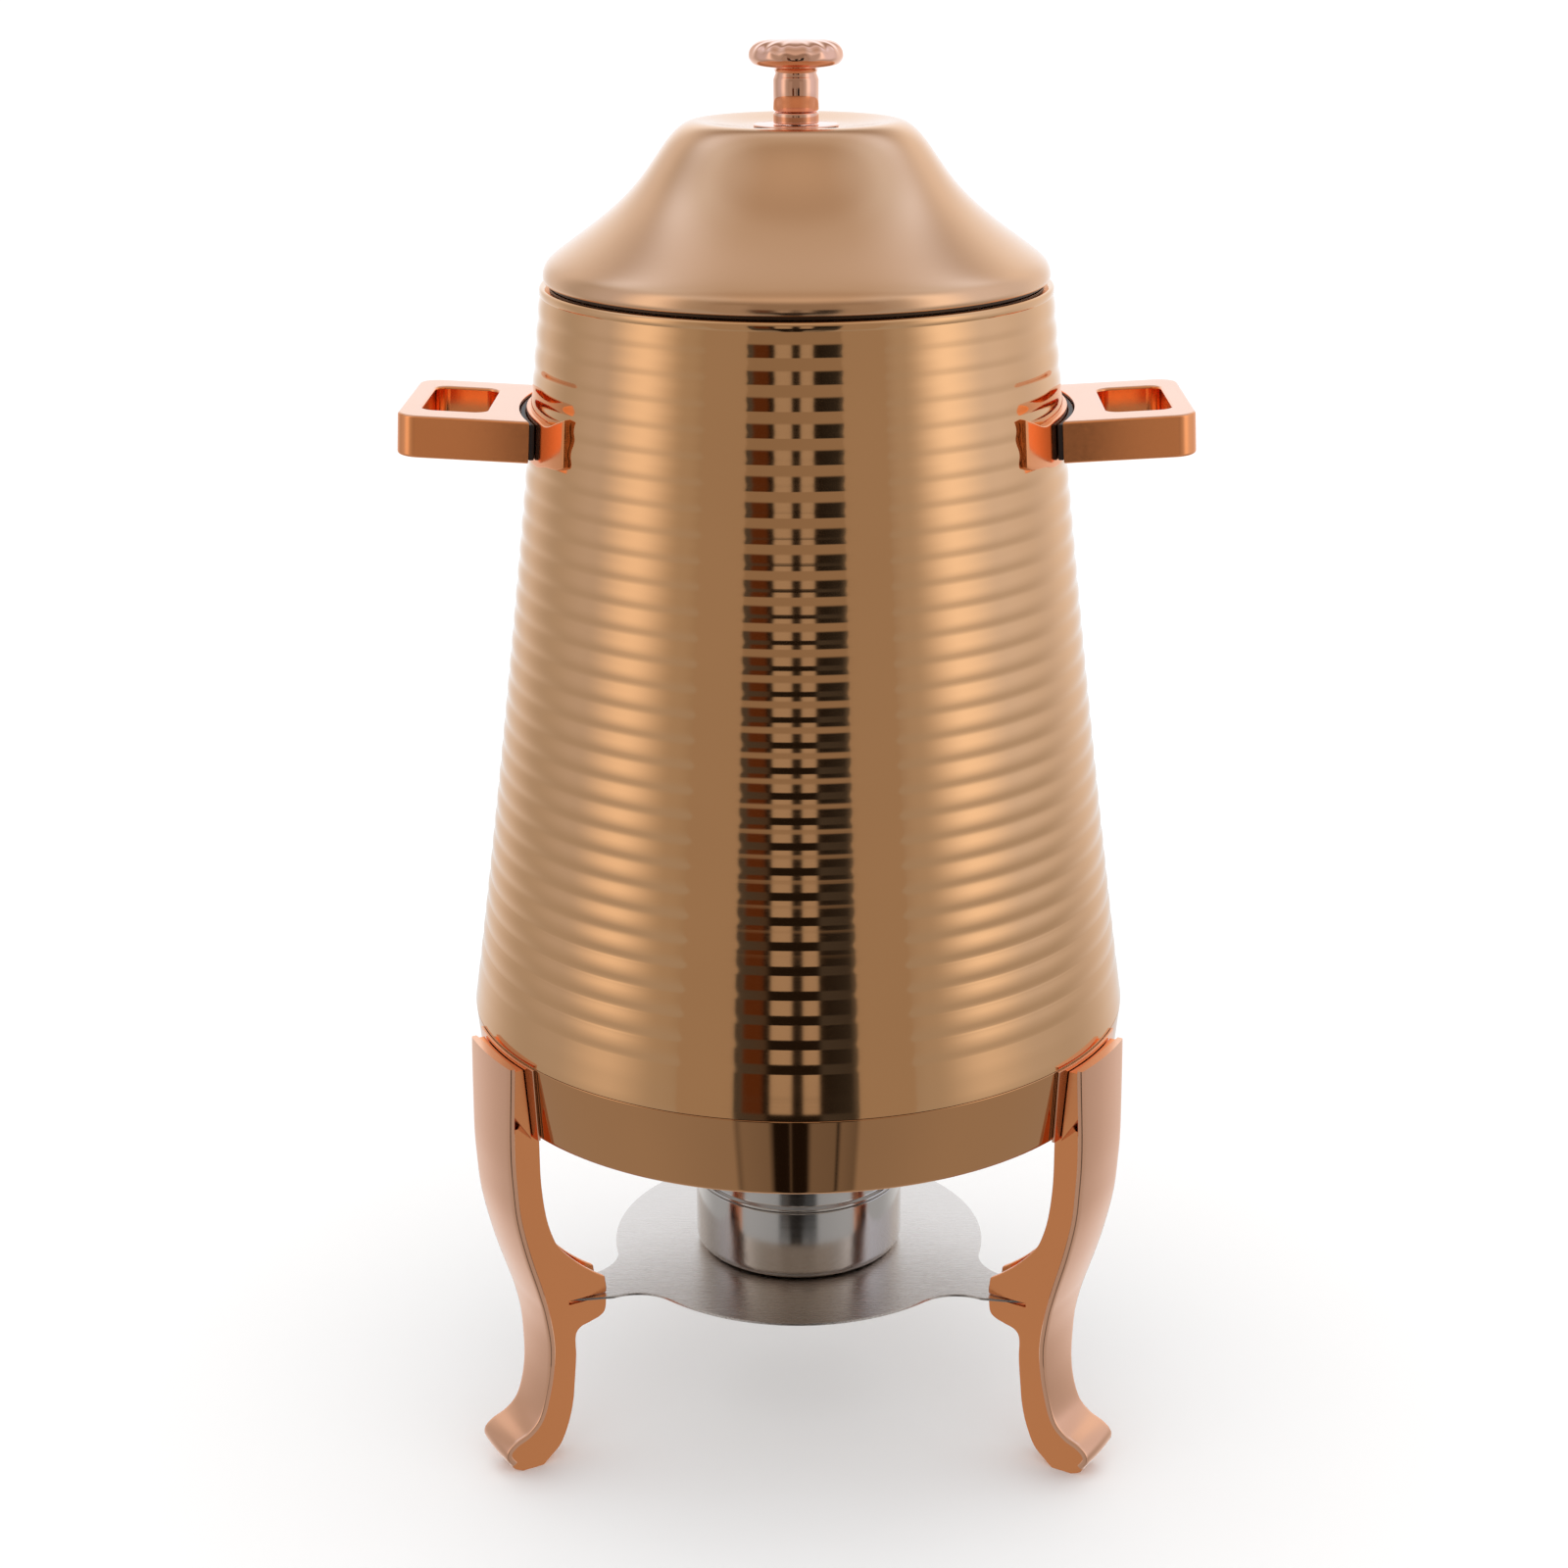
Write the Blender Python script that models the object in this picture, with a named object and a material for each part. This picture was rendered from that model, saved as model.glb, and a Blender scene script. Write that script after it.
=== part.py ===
"""Soup kettle on three cast legs: tapered jacket, lift-out pot, lid, side handles and gel-fuel burner.

Metres, +Z up, floor at z = 0, front towards -Y. Every round piece is turned about the kettle's axis.
"""
import bpy
import bmesh
from math import acos, asin, atan2, cos, pi, radians, sin, sqrt, tau
from mathutils import Matrix, Vector

# ---------------------------------------------------------------- driving dimensions
GAP = 0.0003                 # between pieces that touch
SEAM_RADIUS = 0.150          # jacket at the seam with the base band
SEAM_Z = 0.211
BODY_HEIGHT = 0.3275         # seam to jacket rim
TOP_RADIUS = 0.1106
BODY_BOW = 0.0017            # how far the jacket's side dips inside a straight cone
JACKET_WALL = 0.0012
RIM_LIP = 0.0052             # width of the jacket's turned-in rim
RIM_THICK = 0.0015

BAND_HEIGHT = 0.036
BAND_TAPER = 0.0034
BAND_WALL = 0.0015
BAND_LIP = 0.0066
SPIGOT_HEIGHT = 0.008        # stretch of the band inside the jacket

PAN_DEPTH = 0.072
PAN_RIM = 0.0034             # rim of the pan beyond its wall
PAN_LIFT = 0.013             # pan floor above the band's bottom
PAN_WALL = 0.0012
PAN_CORNER = 0.010

POT_STANDOFF = 0.0511        # pot's underside above the pan's floor
POT_WALL = 0.0012
POT_CLEAR = 0.0008           # pot wall inside the jacket's rim
POT_TAPER = 0.0045
POT_CORNER = 0.012
POT_FLANGE = 0.0034          # flange beyond the pot's wall
POT_FLANGE_THICK = 0.0015

LID_OVERHANG = 0.0011        # lid rim inside the jacket's outer top radius
LID_HEIGHT = 0.0665
LID_TOP_RADIUS = 0.044
LID_WALL = 0.0010
LID_DISH = 0.0030
LID_SKIRT = 0.008
LID_SKIRT_CLEAR = 0.0006

KNOB_RADIUS = 0.0202
KNOB_CAP = 0.0114
KNOB_STEM_RADIUS = 0.0097
KNOB_STEM = 0.0182
COLLAR_HEIGHT = 0.0048
WASHER_RADIUS = 0.0183
WASHER_THICK = 0.0007
STUD_RADIUS = 0.0020

HANDLE_SIDES = {"left": pi, "right": 0.0}
HANDLE_DROP = 0.0615         # handle's middle below the jacket's rim
HANDLE_TILT = radians(3.2)
HANDLE_REACH = 0.0493        # from the gasket to the outer edge
HANDLE_WIDTH = 0.086
HANDLE_THICK = 0.0182
HANDLE_CORNER = 0.010
HANDLE_HOLE_WIDTH = 0.055
HANDLE_HOLE_CORNER = 0.006
HANDLE_BAR = 0.0090          # bar beyond the hole
HANDLE_INNER_BAR = 0.0125    # bar between the gasket and the hole
HANDLE_EDGE = 0.0012
HANDLE_SCREW_DEPTH = 0.0060
BRACKET_DEPTH = 0.0012       # bracket behind the handle, off the jacket
BRACKET_FOOT = 0.0020        # and at its ends
BRACKET_MARGIN = 0.0010      # above and below the handle
BRACKET_SPREAD = 0.026       # beyond each side of the handle
BRACKET_SWEEP = 0.0060       # rise of its ends
GASKET_THICK = 0.0024
HANDLE_SCREW_ANGLE = radians(11)
SCREW_RADIUS = 0.0024
SCREW_HEAD = (0.0043, 0.0028)
BORE_CLEAR = 0.0004

LEG_ANGLES = {"front_left": radians(210), "front_right": radians(-30), "back": radians(90)}
LEG_DROP = 0.0012            # top of the leg below the seam
LEG_FACE_THICK = 0.0026
LEG_WEB = 0.0150
LEG_WEB_WALL = 0.0025
HOLLOW_FOOT = 0.45           # lowest point of the web's hollow, as a share of the plate's height
HOLLOW_DROP = 0.010          # its highest point below the band
SADDLE_THICK = 0.0030
SADDLE_WING = 0.0014
SADDLE_RISE = 0.0008         # saddle's top above the leg's
SADDLE_WING_ANGLES = (radians(9.8), radians(11.2))
LEG_SCREW_DROP = (0.012, 0.027)
LEG_SCREW_DEPTH = 0.0036

PLATE_Z = 0.0811             # top of the burner plate
PLATE_THICK = 0.0012
PLATE_RADIUS = 0.088
PLATE_ARM_HALF = 0.0125
PLATE_FILLET = 0.022
PLATE_TONGUE = 0.0195        # tapered end of an arm, inside the leg's slot
PLATE_SLOT = 0.0191          # depth of that slot from the tip of the knee
PLATE_TONGUE_HALF = 0.0055

CUP_RADIUS = 0.049
CUP_HEIGHT = 0.0351
CUP_WALL = 0.0010
CUP_CORNER = 0.0045
COVER_STEP = 0.0016          # cover's neck inside the cup's radius
COVER_RISE = 0.0140
COVER_PLUG = 0.0060
COVER_OPENING = 0.022
FLAP_RADIUS = 0.026
FLAP_THICK = 0.0010
FLAP_INSET = 0.013           # pin inside the cup's radius
PIN_RADIUS = 0.0020

ROUND = 48                   # facets round a large piece; a multiple of 12 lines them up at every leg
SMALL_ROUND = 24

# A leg's outlines: distance outside SEAM_RADIUS, and level, 0 at the floor, 1 at the plate, 2 at the seam.
LEG_FACE_LINE = [(0.0075, 1.692), (0.0068, 1.538), (0.0052, 1.408), (0.0008, 1.254), (-0.0050, 1.100),
                 (-0.0080, 1.015), (-0.0104, 0.840), (-0.0104, 0.630), (-0.0084, 0.469), (-0.0050, 0.346),
                 (0.0005, 0.278), (0.0070, 0.241), (0.0110, 0.198), (0.0115, 0.148), (0.0090, 0.099)]
LEG_KNEE_LINE = [(-0.0125, 1.631), (-0.0127, 1.492), (-0.0145, 1.362), (-0.0175, 1.273), (-0.0210, 1.219),
                 (-0.0290, 1.150), (-0.0365, 1.100), (-0.0430, 1.065)]
LEG_SHIN_LINE = [(-0.0437, 1.023), (-0.0430, 0.907), (-0.0405, 0.864), (-0.0350, 0.840), (-0.0300, 0.821),
                 (-0.0275, 0.772), (-0.0274, 0.642), (-0.0262, 0.469), (-0.0252, 0.358), (-0.0228, 0.235),
                 (-0.0185, 0.111), (-0.0130, 0.043), (-0.0090, 0.0)]
LEG_HALF_WIDTHS = [(2.0, 0.0215), (1.69, 0.0203), (1.20, 0.0196), (0.85, 0.0160), (0.45, 0.0132),
                   (0.0, 0.0138)]

# ---------------------------------------------------------------- sizes that follow from them
BODY_TOP = SEAM_Z + BODY_HEIGHT
BAND_BOTTOM = SEAM_Z - BAND_HEIGHT
BAND_BOTTOM_RADIUS = SEAM_RADIUS - BAND_TAPER
MOUTH_RADIUS = TOP_RADIUS - RIM_LIP
POT_RADIUS = MOUTH_RADIUS - POT_CLEAR
POT_TOP = BODY_TOP + GAP + POT_FLANGE_THICK
LID_BOTTOM = POT_TOP + GAP
LID_RADIUS = TOP_RADIUS - LID_OVERHANG
LID_TOP = LID_BOTTOM + LID_HEIGHT
DISH_Z = LID_TOP - LID_DISH
COLLAR_Z = DISH_Z + GAP + WASHER_THICK + GAP
KNOB_Z = COLLAR_Z + COLLAR_HEIGHT + GAP
CUP_Z = PLATE_Z + GAP
CUP_TOP = CUP_Z + CUP_HEIGHT
COVER_TOP = CUP_TOP + COVER_RISE
HANDLE_Z = BODY_TOP - HANDLE_DROP
SADDLE_RADIUS = SEAM_RADIUS + SADDLE_THICK
LEG_INNER = SADDLE_RADIUS + GAP
LEG_TOP = SEAM_Z - LEG_DROP
LEG_TIP = SEAM_RADIUS + LEG_SHIN_LINE[0][0]
SLOT_END = LEG_TIP + PLATE_SLOT
FLAP_PIVOT = CUP_RADIUS - FLAP_INSET


def jacket_radius(z):
    """Outside of the jacket at height z."""
    share = (z - SEAM_Z) / BODY_HEIGHT
    return SEAM_RADIUS + (TOP_RADIUS - SEAM_RADIUS) * share - BODY_BOW * 4 * share * (1 - share)


def band_radius(z):
    """Outside of the base band at height z."""
    return SEAM_RADIUS - BAND_TAPER * (SEAM_Z - z) / BAND_HEIGHT


BRACKET_RADIUS = jacket_radius(HANDLE_Z) + BRACKET_DEPTH
GASKET_RADIUS = BRACKET_RADIUS + GAP + GASKET_THICK
HANDLE_RADIUS = GASKET_RADIUS + GAP


# ---------------------------------------------------------------- modelling helpers
def clear_scene():
    for item in list(bpy.data.objects):
        bpy.data.objects.remove(item, do_unlink=True)


def make_material(name, colour, roughness, metallic=1.0):
    material = bpy.data.materials.new(name)
    material.use_nodes = True
    shader = material.node_tree.nodes["Principled BSDF"]
    shader.inputs["Base Color"].default_value = (*colour, 1.0)
    shader.inputs["Roughness"].default_value = roughness
    shader.inputs["Metallic"].default_value = metallic
    material.diffuse_color = (*colour, 1.0)
    return material


def to_object(name, bm, material, smooth=True):
    """Closes a bmesh into a named object with its faces pointing out."""
    bmesh.ops.remove_doubles(bm, verts=bm.verts, dist=1e-6)
    bmesh.ops.recalc_face_normals(bm, faces=bm.faces)
    mesh = bpy.data.meshes.new(name)
    bm.to_mesh(mesh)
    bm.free()
    if smooth:
        mesh.shade_smooth()
        mesh.set_sharp_from_angle(angle=radians(32))
    item = bpy.data.objects.new(name, mesh)
    bpy.context.scene.collection.objects.link(item)
    if material:
        item.data.materials.append(material)
    return item


def turn(name, outline, material, steps=ROUND):
    """Spins an outline of (radius, height) points about Z. An outline off the axis is closed on itself."""
    bm = bmesh.new()
    points = [bm.verts.new((r, 0, z)) for r, z in outline]
    edges = [bm.edges.new(pair) for pair in zip(points, points[1:])]
    if outline[0][0] > 1e-7 or outline[-1][0] > 1e-7:
        edges.append(bm.edges.new((points[-1], points[0])))
    bmesh.ops.spin(bm, geom=points + edges, cent=(0, 0, 0), axis=(0, 0, 1), angle=tau, steps=steps,
                   use_merge=True)
    return to_object(name, bm, material)


def loft(name, rings, material, closed=False):
    """Skins equal rings of points, with flat caps at open ends; a closed loft joins last ring to first."""
    bm = bmesh.new()
    rows = [[bm.verts.new(point) for point in ring] for ring in rings]
    pairs = list(zip(rows, rows[1:] + rows[:1])) if closed else list(zip(rows, rows[1:]))
    for low, high in pairs:
        for i in range(len(low)):
            j = (i + 1) % len(low)
            bm.faces.new((low[i], low[j], high[j], high[i]))
    if not closed:
        bm.faces.new(rows[0])
        bm.faces.new(rows[-1])
    return to_object(name, bm, material)


def extrude(name, outline, low, high, material, place=lambda u, v, w: (u, v, w)):
    """A straight prism of an outline between two levels; place turns (u, v, level) into a point."""
    return loft(name, [[place(u, v, w) for u, v in outline] for w in (low, high)], material)


def arc(centre, radius, start, end, count):
    """Points on an arc from one angle to another, both ends included."""
    angles = [start + (end - start) * i / count for i in range(count + 1)]
    return [(centre[0] + radius * cos(a), centre[1] + radius * sin(a)) for a in angles]


def smooth_line(points, parts=2):
    """A Catmull-Rom line through the points."""
    ends = [points[0]] + list(points) + [points[-1]]
    line = []
    for a, b, c, d in zip(ends, ends[1:], ends[2:], ends[3:]):
        for i in range(parts):
            t = i / parts
            weights = (-t + 2 * t * t - t ** 3, 2 - 5 * t * t + 3 * t ** 3, t + 4 * t * t - 3 * t ** 3,
                       t ** 3 - t * t)
            line.append(tuple(sum(w * p[k] for w, p in zip(weights, (a, b, c, d))) / 2 for k in (0, 1)))
    return line + [tuple(points[-1])]


def offset_line(points, distance):
    """Moves each point of a line sideways, to the left of its direction."""
    moved = []
    for i, point in enumerate(points):
        before = Vector(points[max(i - 1, 0)])
        after = Vector(points[min(i + 1, len(points) - 1)])
        along = (after - before).normalized()
        moved.append((point[0] - along.y * distance, point[1] + along.x * distance))
    return moved


def combine(item, others, operation):
    """Applies Boolean modifiers with the other objects, then removes those objects."""
    for other in others:
        modifier = item.modifiers.new(other.name, "BOOLEAN")
        modifier.operation = operation
        modifier.solver = "EXACT"
        modifier.object = other
    bpy.context.view_layer.update()
    graph = bpy.context.evaluated_depsgraph_get()
    mesh = bpy.data.meshes.new_from_object(item.evaluated_get(graph))
    item.modifiers.clear()
    item.data = mesh
    mesh.name = item.name
    mesh.shade_smooth()
    mesh.set_sharp_from_angle(angle=radians(32))
    for other in others:
        bpy.data.objects.remove(other, do_unlink=True)
    return item


def rod(name, radius, start, end, steps=12):
    """A plain round bar used as a cutter, turned so that no edge of it lies straight above its axis."""
    axis = Vector(end) - Vector(start)
    turned = axis.to_track_quat("Z", "Y").to_matrix().to_4x4() @ Matrix.Rotation(pi / steps, 4, "Z")
    bm = bmesh.new()
    bmesh.ops.create_cone(bm, cap_ends=True, segments=steps, radius1=radius, radius2=radius,
                          depth=axis.length,
                          matrix=Matrix.Translation((Vector(start) + Vector(end)) / 2) @ turned)
    return to_object(name, bm, None)


def around(angle, radius, z):
    return (radius * cos(angle), radius * sin(angle), z)


def head_seat(radius_at, wall, z):
    """How far out a level screw's head can lie inside a tapered, faceted wall."""
    reach = SCREW_HEAD[0]
    inside = (min(radius_at(z - reach), radius_at(z + reach)) - wall) * cos(pi / ROUND)
    return sqrt(inside ** 2 - reach ** 2) - GAP


def screw(name, angle, start, length, z, material):
    """A pan-head screw lying along the radius at an angle, its head's underside at start."""
    head_radius, head_height = SCREW_HEAD
    outline = [(0, -head_height), (head_radius * 0.72, -head_height), (head_radius, -head_height * 0.45),
               (head_radius, 0), (SCREW_RADIUS, 0), (SCREW_RADIUS, length - 0.0006),
               (SCREW_RADIUS - 0.0006, length), (0, length)]
    item = turn(name, outline, material, steps=12)
    item.location = around(angle, start, z)
    item.rotation_euler = (0, pi / 2, angle)
    return item


# ---------------------------------------------------------------- the kettle's body
def wall_heights(low, high, count):
    return [low + (high - low) * i / count for i in range(count + 1)]


def make_jacket(material):
    heights = wall_heights(SEAM_Z + GAP / 2, BODY_TOP - RIM_THICK, 5)
    outer = [(jacket_radius(z), z) for z in heights]
    inner = [(jacket_radius(z) - JACKET_WALL, z) for z in reversed(heights)]
    rim = [(TOP_RADIUS - 0.0004, BODY_TOP - 0.0004), (TOP_RADIUS - 0.0012, BODY_TOP),
           (MOUTH_RADIUS, BODY_TOP), (MOUTH_RADIUS, BODY_TOP - RIM_THICK)]
    jacket = turn("kettle_jacket", outer + rim + inner, material)
    holes = []
    for side, base in HANDLE_SIDES.items():
        for place, angle in handle_screw_angles(base).items():
            start = around(angle, TOP_RADIUS * 0.8, HANDLE_Z)
            end = around(angle, SEAM_RADIUS, HANDLE_Z)
            holes.append(rod(f"bore_{side}_{place}", SCREW_RADIUS + BORE_CLEAR, start, end))
    return combine(jacket, holes, "DIFFERENCE")


def make_band(material):
    top = SEAM_Z - GAP / 2
    spigot_top = SEAM_Z + SPIGOT_HEIGHT
    fit = JACKET_WALL + GAP
    bottom = BAND_BOTTOM_RADIUS
    outline = [(band_radius(top), top), (bottom, BAND_BOTTOM + 0.0012), (bottom - 0.0012, BAND_BOTTOM),
               (bottom - BAND_LIP, BAND_BOTTOM), (bottom - BAND_LIP, BAND_BOTTOM + BAND_WALL),
               (bottom - BAND_WALL, BAND_BOTTOM + BAND_WALL),
               (band_radius(top - 0.006) - BAND_WALL, top - 0.006),
               (SEAM_RADIUS - fit - BAND_WALL, top - 0.003),
               (jacket_radius(spigot_top) - fit - BAND_WALL, spigot_top),
               (jacket_radius(spigot_top) - fit, spigot_top), (jacket_radius(top) - fit, top)]
    band = turn("base_band", outline, material)
    holes = []
    for place, angle in LEG_ANGLES.items():
        for drop in LEG_SCREW_DROP:
            z = SEAM_Z - drop
            holes.append(rod(f"bore_{place}_{drop}", SCREW_RADIUS + BORE_CLEAR,
                             around(angle, SEAM_RADIUS - 0.02, z), around(angle, SEAM_RADIUS + 0.02, z)))
    return combine(band, holes, "DIFFERENCE")


def make_water_pan(material):
    floor = BAND_BOTTOM + PAN_LIFT
    top = floor + PAN_DEPTH
    rim = jacket_radius(top) - JACKET_WALL - GAP
    radius = rim - PAN_RIM
    outer_corner = arc((radius - PAN_CORNER, floor + PAN_CORNER), PAN_CORNER, -pi / 2, 0, 3)
    inner_corner = arc((radius - PAN_CORNER, floor + PAN_CORNER), PAN_CORNER - PAN_WALL, 0, -pi / 2, 3)
    outline = [(0, floor)] + outer_corner
    outline += [(radius, top - PAN_WALL - 0.002), (rim, top - PAN_WALL), (rim, top)]
    outline += [(radius - PAN_WALL, top)] + inner_corner + [(0, floor + PAN_WALL)]
    return turn("water_pan", outline, material)


def make_pot(material):
    floor = BAND_BOTTOM + PAN_LIFT + PAN_WALL + POT_STANDOFF
    low = POT_RADIUS - POT_TAPER
    flange = POT_RADIUS + POT_FLANGE
    outer_corner = arc((low - POT_CORNER, floor + POT_CORNER), POT_CORNER, -pi / 2, 0, 3)
    inner_corner = arc((low - POT_CORNER, floor + POT_CORNER), POT_CORNER - POT_WALL, 0, -pi / 2, 3)
    under = POT_TOP - POT_FLANGE_THICK
    outline = [(0, floor)] + outer_corner
    outline += [(POT_RADIUS, under - 0.030), (POT_RADIUS, under), (flange - 0.0004, under)]
    outline += [(flange, under + 0.0004), (flange, POT_TOP - 0.0004), (flange - 0.0004, POT_TOP)]
    outline += [(POT_RADIUS - POT_WALL, POT_TOP), (POT_RADIUS - POT_WALL, under - 0.030)]
    outline += inner_corner + [(0, floor + POT_WALL)]
    return turn("soup_pot", outline, material)


# ---------------------------------------------------------------- lid and knob
def lid_line():
    """Outside of the lid from the edge of its dish down to the top of its rim."""
    shoulder = LID_TOP_RADIUS
    drop = LID_HEIGHT
    run = LID_RADIUS - shoulder
    shape = [(0.0, 0.0), (0.075, 0.030), (0.165, 0.115), (0.262, 0.258), (0.370, 0.405), (0.520, 0.552),
             (0.712, 0.698), (0.925, 0.845), (0.985, 0.905), (1.0, 0.975)]
    return [(shoulder + run * a, LID_TOP - drop * b) for a, b in shape]


def make_lid(material):
    hole = STUD_RADIUS + BORE_CLEAR
    flat = WASHER_RADIUS + 0.002
    side = lid_line()
    dish = [(hole, DISH_Z), (flat, DISH_Z)]
    dish += [(flat + (LID_TOP_RADIUS - flat) * s, DISH_Z + LID_DISH * (3 * s * s - 2 * s ** 3))
             for s in (0.25, 0.5, 0.75)]
    outer = dish + side
    inner = [p for p in offset_line(outer, -LID_WALL) if p[1] > LID_BOTTOM + 0.004]
    inner = [(hole, DISH_Z - LID_WALL)] + [p for p in inner if p[0] > hole + 0.001]
    skirt = POT_RADIUS - POT_WALL - LID_SKIRT_CLEAR
    shelf = LID_BOTTOM + LID_WALL
    low = LID_BOTTOM - LID_SKIRT
    rim = [(LID_RADIUS - 0.0008, LID_BOTTOM), (skirt, LID_BOTTOM), (skirt, low), (skirt - LID_WALL, low),
           (skirt - LID_WALL, shelf), (inner[-1][0] - 0.0006, shelf)]
    return turn("lid", outer + rim + list(reversed(inner)), material)


def make_knob(material):
    hole = STUD_RADIUS + BORE_CLEAR
    neck = KNOB_Z + KNOB_STEM
    cap = neck + KNOB_CAP
    stem = KNOB_STEM_RADIUS
    rim = KNOB_RADIUS
    cap_points = [(stem - 0.0011, neck - 0.0030), (stem - 0.0006, neck - 0.0006), (rim * 0.80, neck + 0.0004),
                  (rim * 0.95, neck + 0.0022), (rim, neck + 0.0048), (rim * 0.955, neck + 0.0076),
                  (rim * 0.83, neck + 0.0096), (rim * 0.60, cap - 0.0005), (0, cap)]
    outline = [(0, neck - 0.002), (hole, neck - 0.002), (hole, KNOB_Z), (stem - 0.0005, KNOB_Z),
               (stem, KNOB_Z + 0.0005), (stem, neck - 0.0042)] + cap_points
    return turn("knob", outline, material, steps=28)


def make_knob_fittings(copper, steel):
    hole = STUD_RADIUS + BORE_CLEAR
    collar_top = COLLAR_Z + COLLAR_HEIGHT
    stem = KNOB_STEM_RADIUS
    collar = turn("knob_collar", [(hole, COLLAR_Z), (stem, COLLAR_Z), (stem, collar_top - 0.0005),
                                  (stem - 0.0006, collar_top), (hole, collar_top)], copper, SMALL_ROUND)
    low = DISH_Z + GAP
    high = low + WASHER_THICK
    washer_edge = [(WASHER_RADIUS, low), (WASHER_RADIUS - 0.0003, high)]
    washer = turn("knob_washer", [(hole, low)] + washer_edge + [(hole, high)], copper, SMALL_ROUND)
    under = DISH_Z - LID_WALL - GAP
    tip = KNOB_Z + KNOB_STEM - 0.0035
    head_radius, head_height = SCREW_HEAD
    stud = turn("knob_screw", [(0, under - head_height), (head_radius * 0.72, under - head_height),
                               (head_radius, under - head_height * 0.45), (head_radius, under),
                               (STUD_RADIUS, under), (STUD_RADIUS, tip), (0, tip)], steel, 12)
    return [collar, washer, stud]


# ---------------------------------------------------------------- side handles
def handle_screw_angles(base):
    return {"front": base - HANDLE_SCREW_ANGLE * cos(base), "rear": base + HANDLE_SCREW_ANGLE * cos(base)}


def rounded_box(low, high, half, corner, parts=4):
    """A rounded rectangle from low to high along the handle and half to each side of its centre line."""
    points = []
    for u, v, start in ((high - corner, half - corner, 0), (low + corner, half - corner, pi / 2),
                        (low + corner, corner - half, pi), (high - corner, corner - half, 1.5 * pi)):
        points += arc((u, v), corner, start, start + pi / 2, parts)
    return points


def handle_outline(inset):
    """Plan of the handle: rounded outer corners, and an inner end that follows the gasket."""
    high = HANDLE_RADIUS + HANDLE_REACH - inset
    half = HANDLE_WIDTH / 2 - inset
    corner = HANDLE_CORNER - inset
    inner = HANDLE_RADIUS + inset
    angle = asin(half / inner)
    points = arc((high - corner, half - corner), corner, 0, pi / 2, 4)
    points += arc((0, 0), inner, angle, -angle, 9)
    return points + arc((high - corner, corner - half), corner, -pi / 2, 0, 4)


def tilted(u, v, w):
    """From the handle's own frame, raised towards its outer end, to the kettle's."""
    out = u - HANDLE_RADIUS
    return (HANDLE_RADIUS + out * cos(HANDLE_TILT) - w * sin(HANDLE_TILT), v,
            HANDLE_Z + out * sin(HANDLE_TILT) + w * cos(HANDLE_TILT))


def make_handle(side, material):
    """A flat loop: rings of points run up the outside, over the top, down the hole and back underneath."""
    rise = HANDLE_THICK / 2
    hole_high = HANDLE_RADIUS + HANDLE_REACH - HANDLE_BAR
    hole_low = HANDLE_RADIUS + HANDLE_INNER_BAR
    soft = HANDLE_EDGE * 0.3
    straight = rise - HANDLE_EDGE
    rings = []
    for inset, w in ((0, -straight), (0, straight), (soft, rise - soft), (HANDLE_EDGE, rise)):
        rings.append([tilted(u, v, w) for u, v in handle_outline(inset)])
    for grow, w in ((HANDLE_EDGE, rise), (0, straight), (0, -straight), (HANDLE_EDGE, -rise)):
        half = HANDLE_HOLE_WIDTH / 2 + grow
        box = rounded_box(hole_low - grow, hole_high + grow, half, HANDLE_HOLE_CORNER + grow)
        rings.append([tilted(u, v, w) for u, v in box])
    for inset, w in ((HANDLE_EDGE, -rise), (soft, soft - rise)):
        rings.append([tilted(u, v, w) for u, v in handle_outline(inset)])
    return loft(f"handle_{side}", rings, material, closed=True)


def arc_prism(name, outer, inner, half_angle, low, high, material, parts=8):
    """A slab between two radii about the kettle's axis, in the handle's tilted frame."""
    outline = arc((0, 0), outer, -half_angle, half_angle, parts)
    outline += arc((0, 0), inner, half_angle, -half_angle, parts)
    return extrude(name, outline, low, high, material, tilted)


def body_cutter(name):
    """The outside of jacket and band, grown by the gap, to shape what sits against them."""
    low = wall_heights(BAND_BOTTOM - 0.02, SEAM_Z, 3)
    high = wall_heights(SEAM_Z, BODY_TOP, 5)
    outline = [(0, low[0])] + [(band_radius(z) + GAP, z) for z in low]
    outline += [(jacket_radius(z) + GAP, z) for z in high[1:]] + [(0, high[-1])]
    return turn(name, outline, None)


def make_gasket(side, material):
    half_angle = asin((HANDLE_WIDTH / 2 - 0.001) / HANDLE_RADIUS)
    rise = HANDLE_THICK / 2 - 0.0006
    return arc_prism(f"handle_gasket_{side}", GASKET_RADIUS, GASKET_RADIUS - GASKET_THICK, half_angle,
                     -rise, rise, material)


def make_bracket(side, material, parts=14):
    """A saddle on the jacket: level behind the handle, then swept up and a little thicker to its ends."""
    body = asin(HANDLE_WIDTH / 2 / HANDLE_RADIUS)
    spread = asin((HANDLE_WIDTH / 2 + BRACKET_SPREAD) / jacket_radius(HANDLE_Z))
    inner = MOUTH_RADIUS
    rise = HANDLE_THICK / 2 + BRACKET_MARGIN
    rings = []
    for i in range(parts + 1):
        angle = spread * (2 * i / parts - 1)
        share = max(0.0, (abs(angle) - body) / (spread - body))
        outer = BRACKET_RADIUS + (BRACKET_FOOT - BRACKET_DEPTH) * share
        lift = BRACKET_SWEEP * share ** 2
        section = ((outer, lift - rise), (outer, lift + rise), (inner, lift + rise), (inner, lift - rise))
        rings.append([tilted(r * cos(angle), r * sin(angle), w) for r, w in section])
    bracket = loft(f"handle_bracket_{side}", rings, material)
    return combine(bracket, [body_cutter("body_cutter")], "DIFFERENCE")


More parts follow.
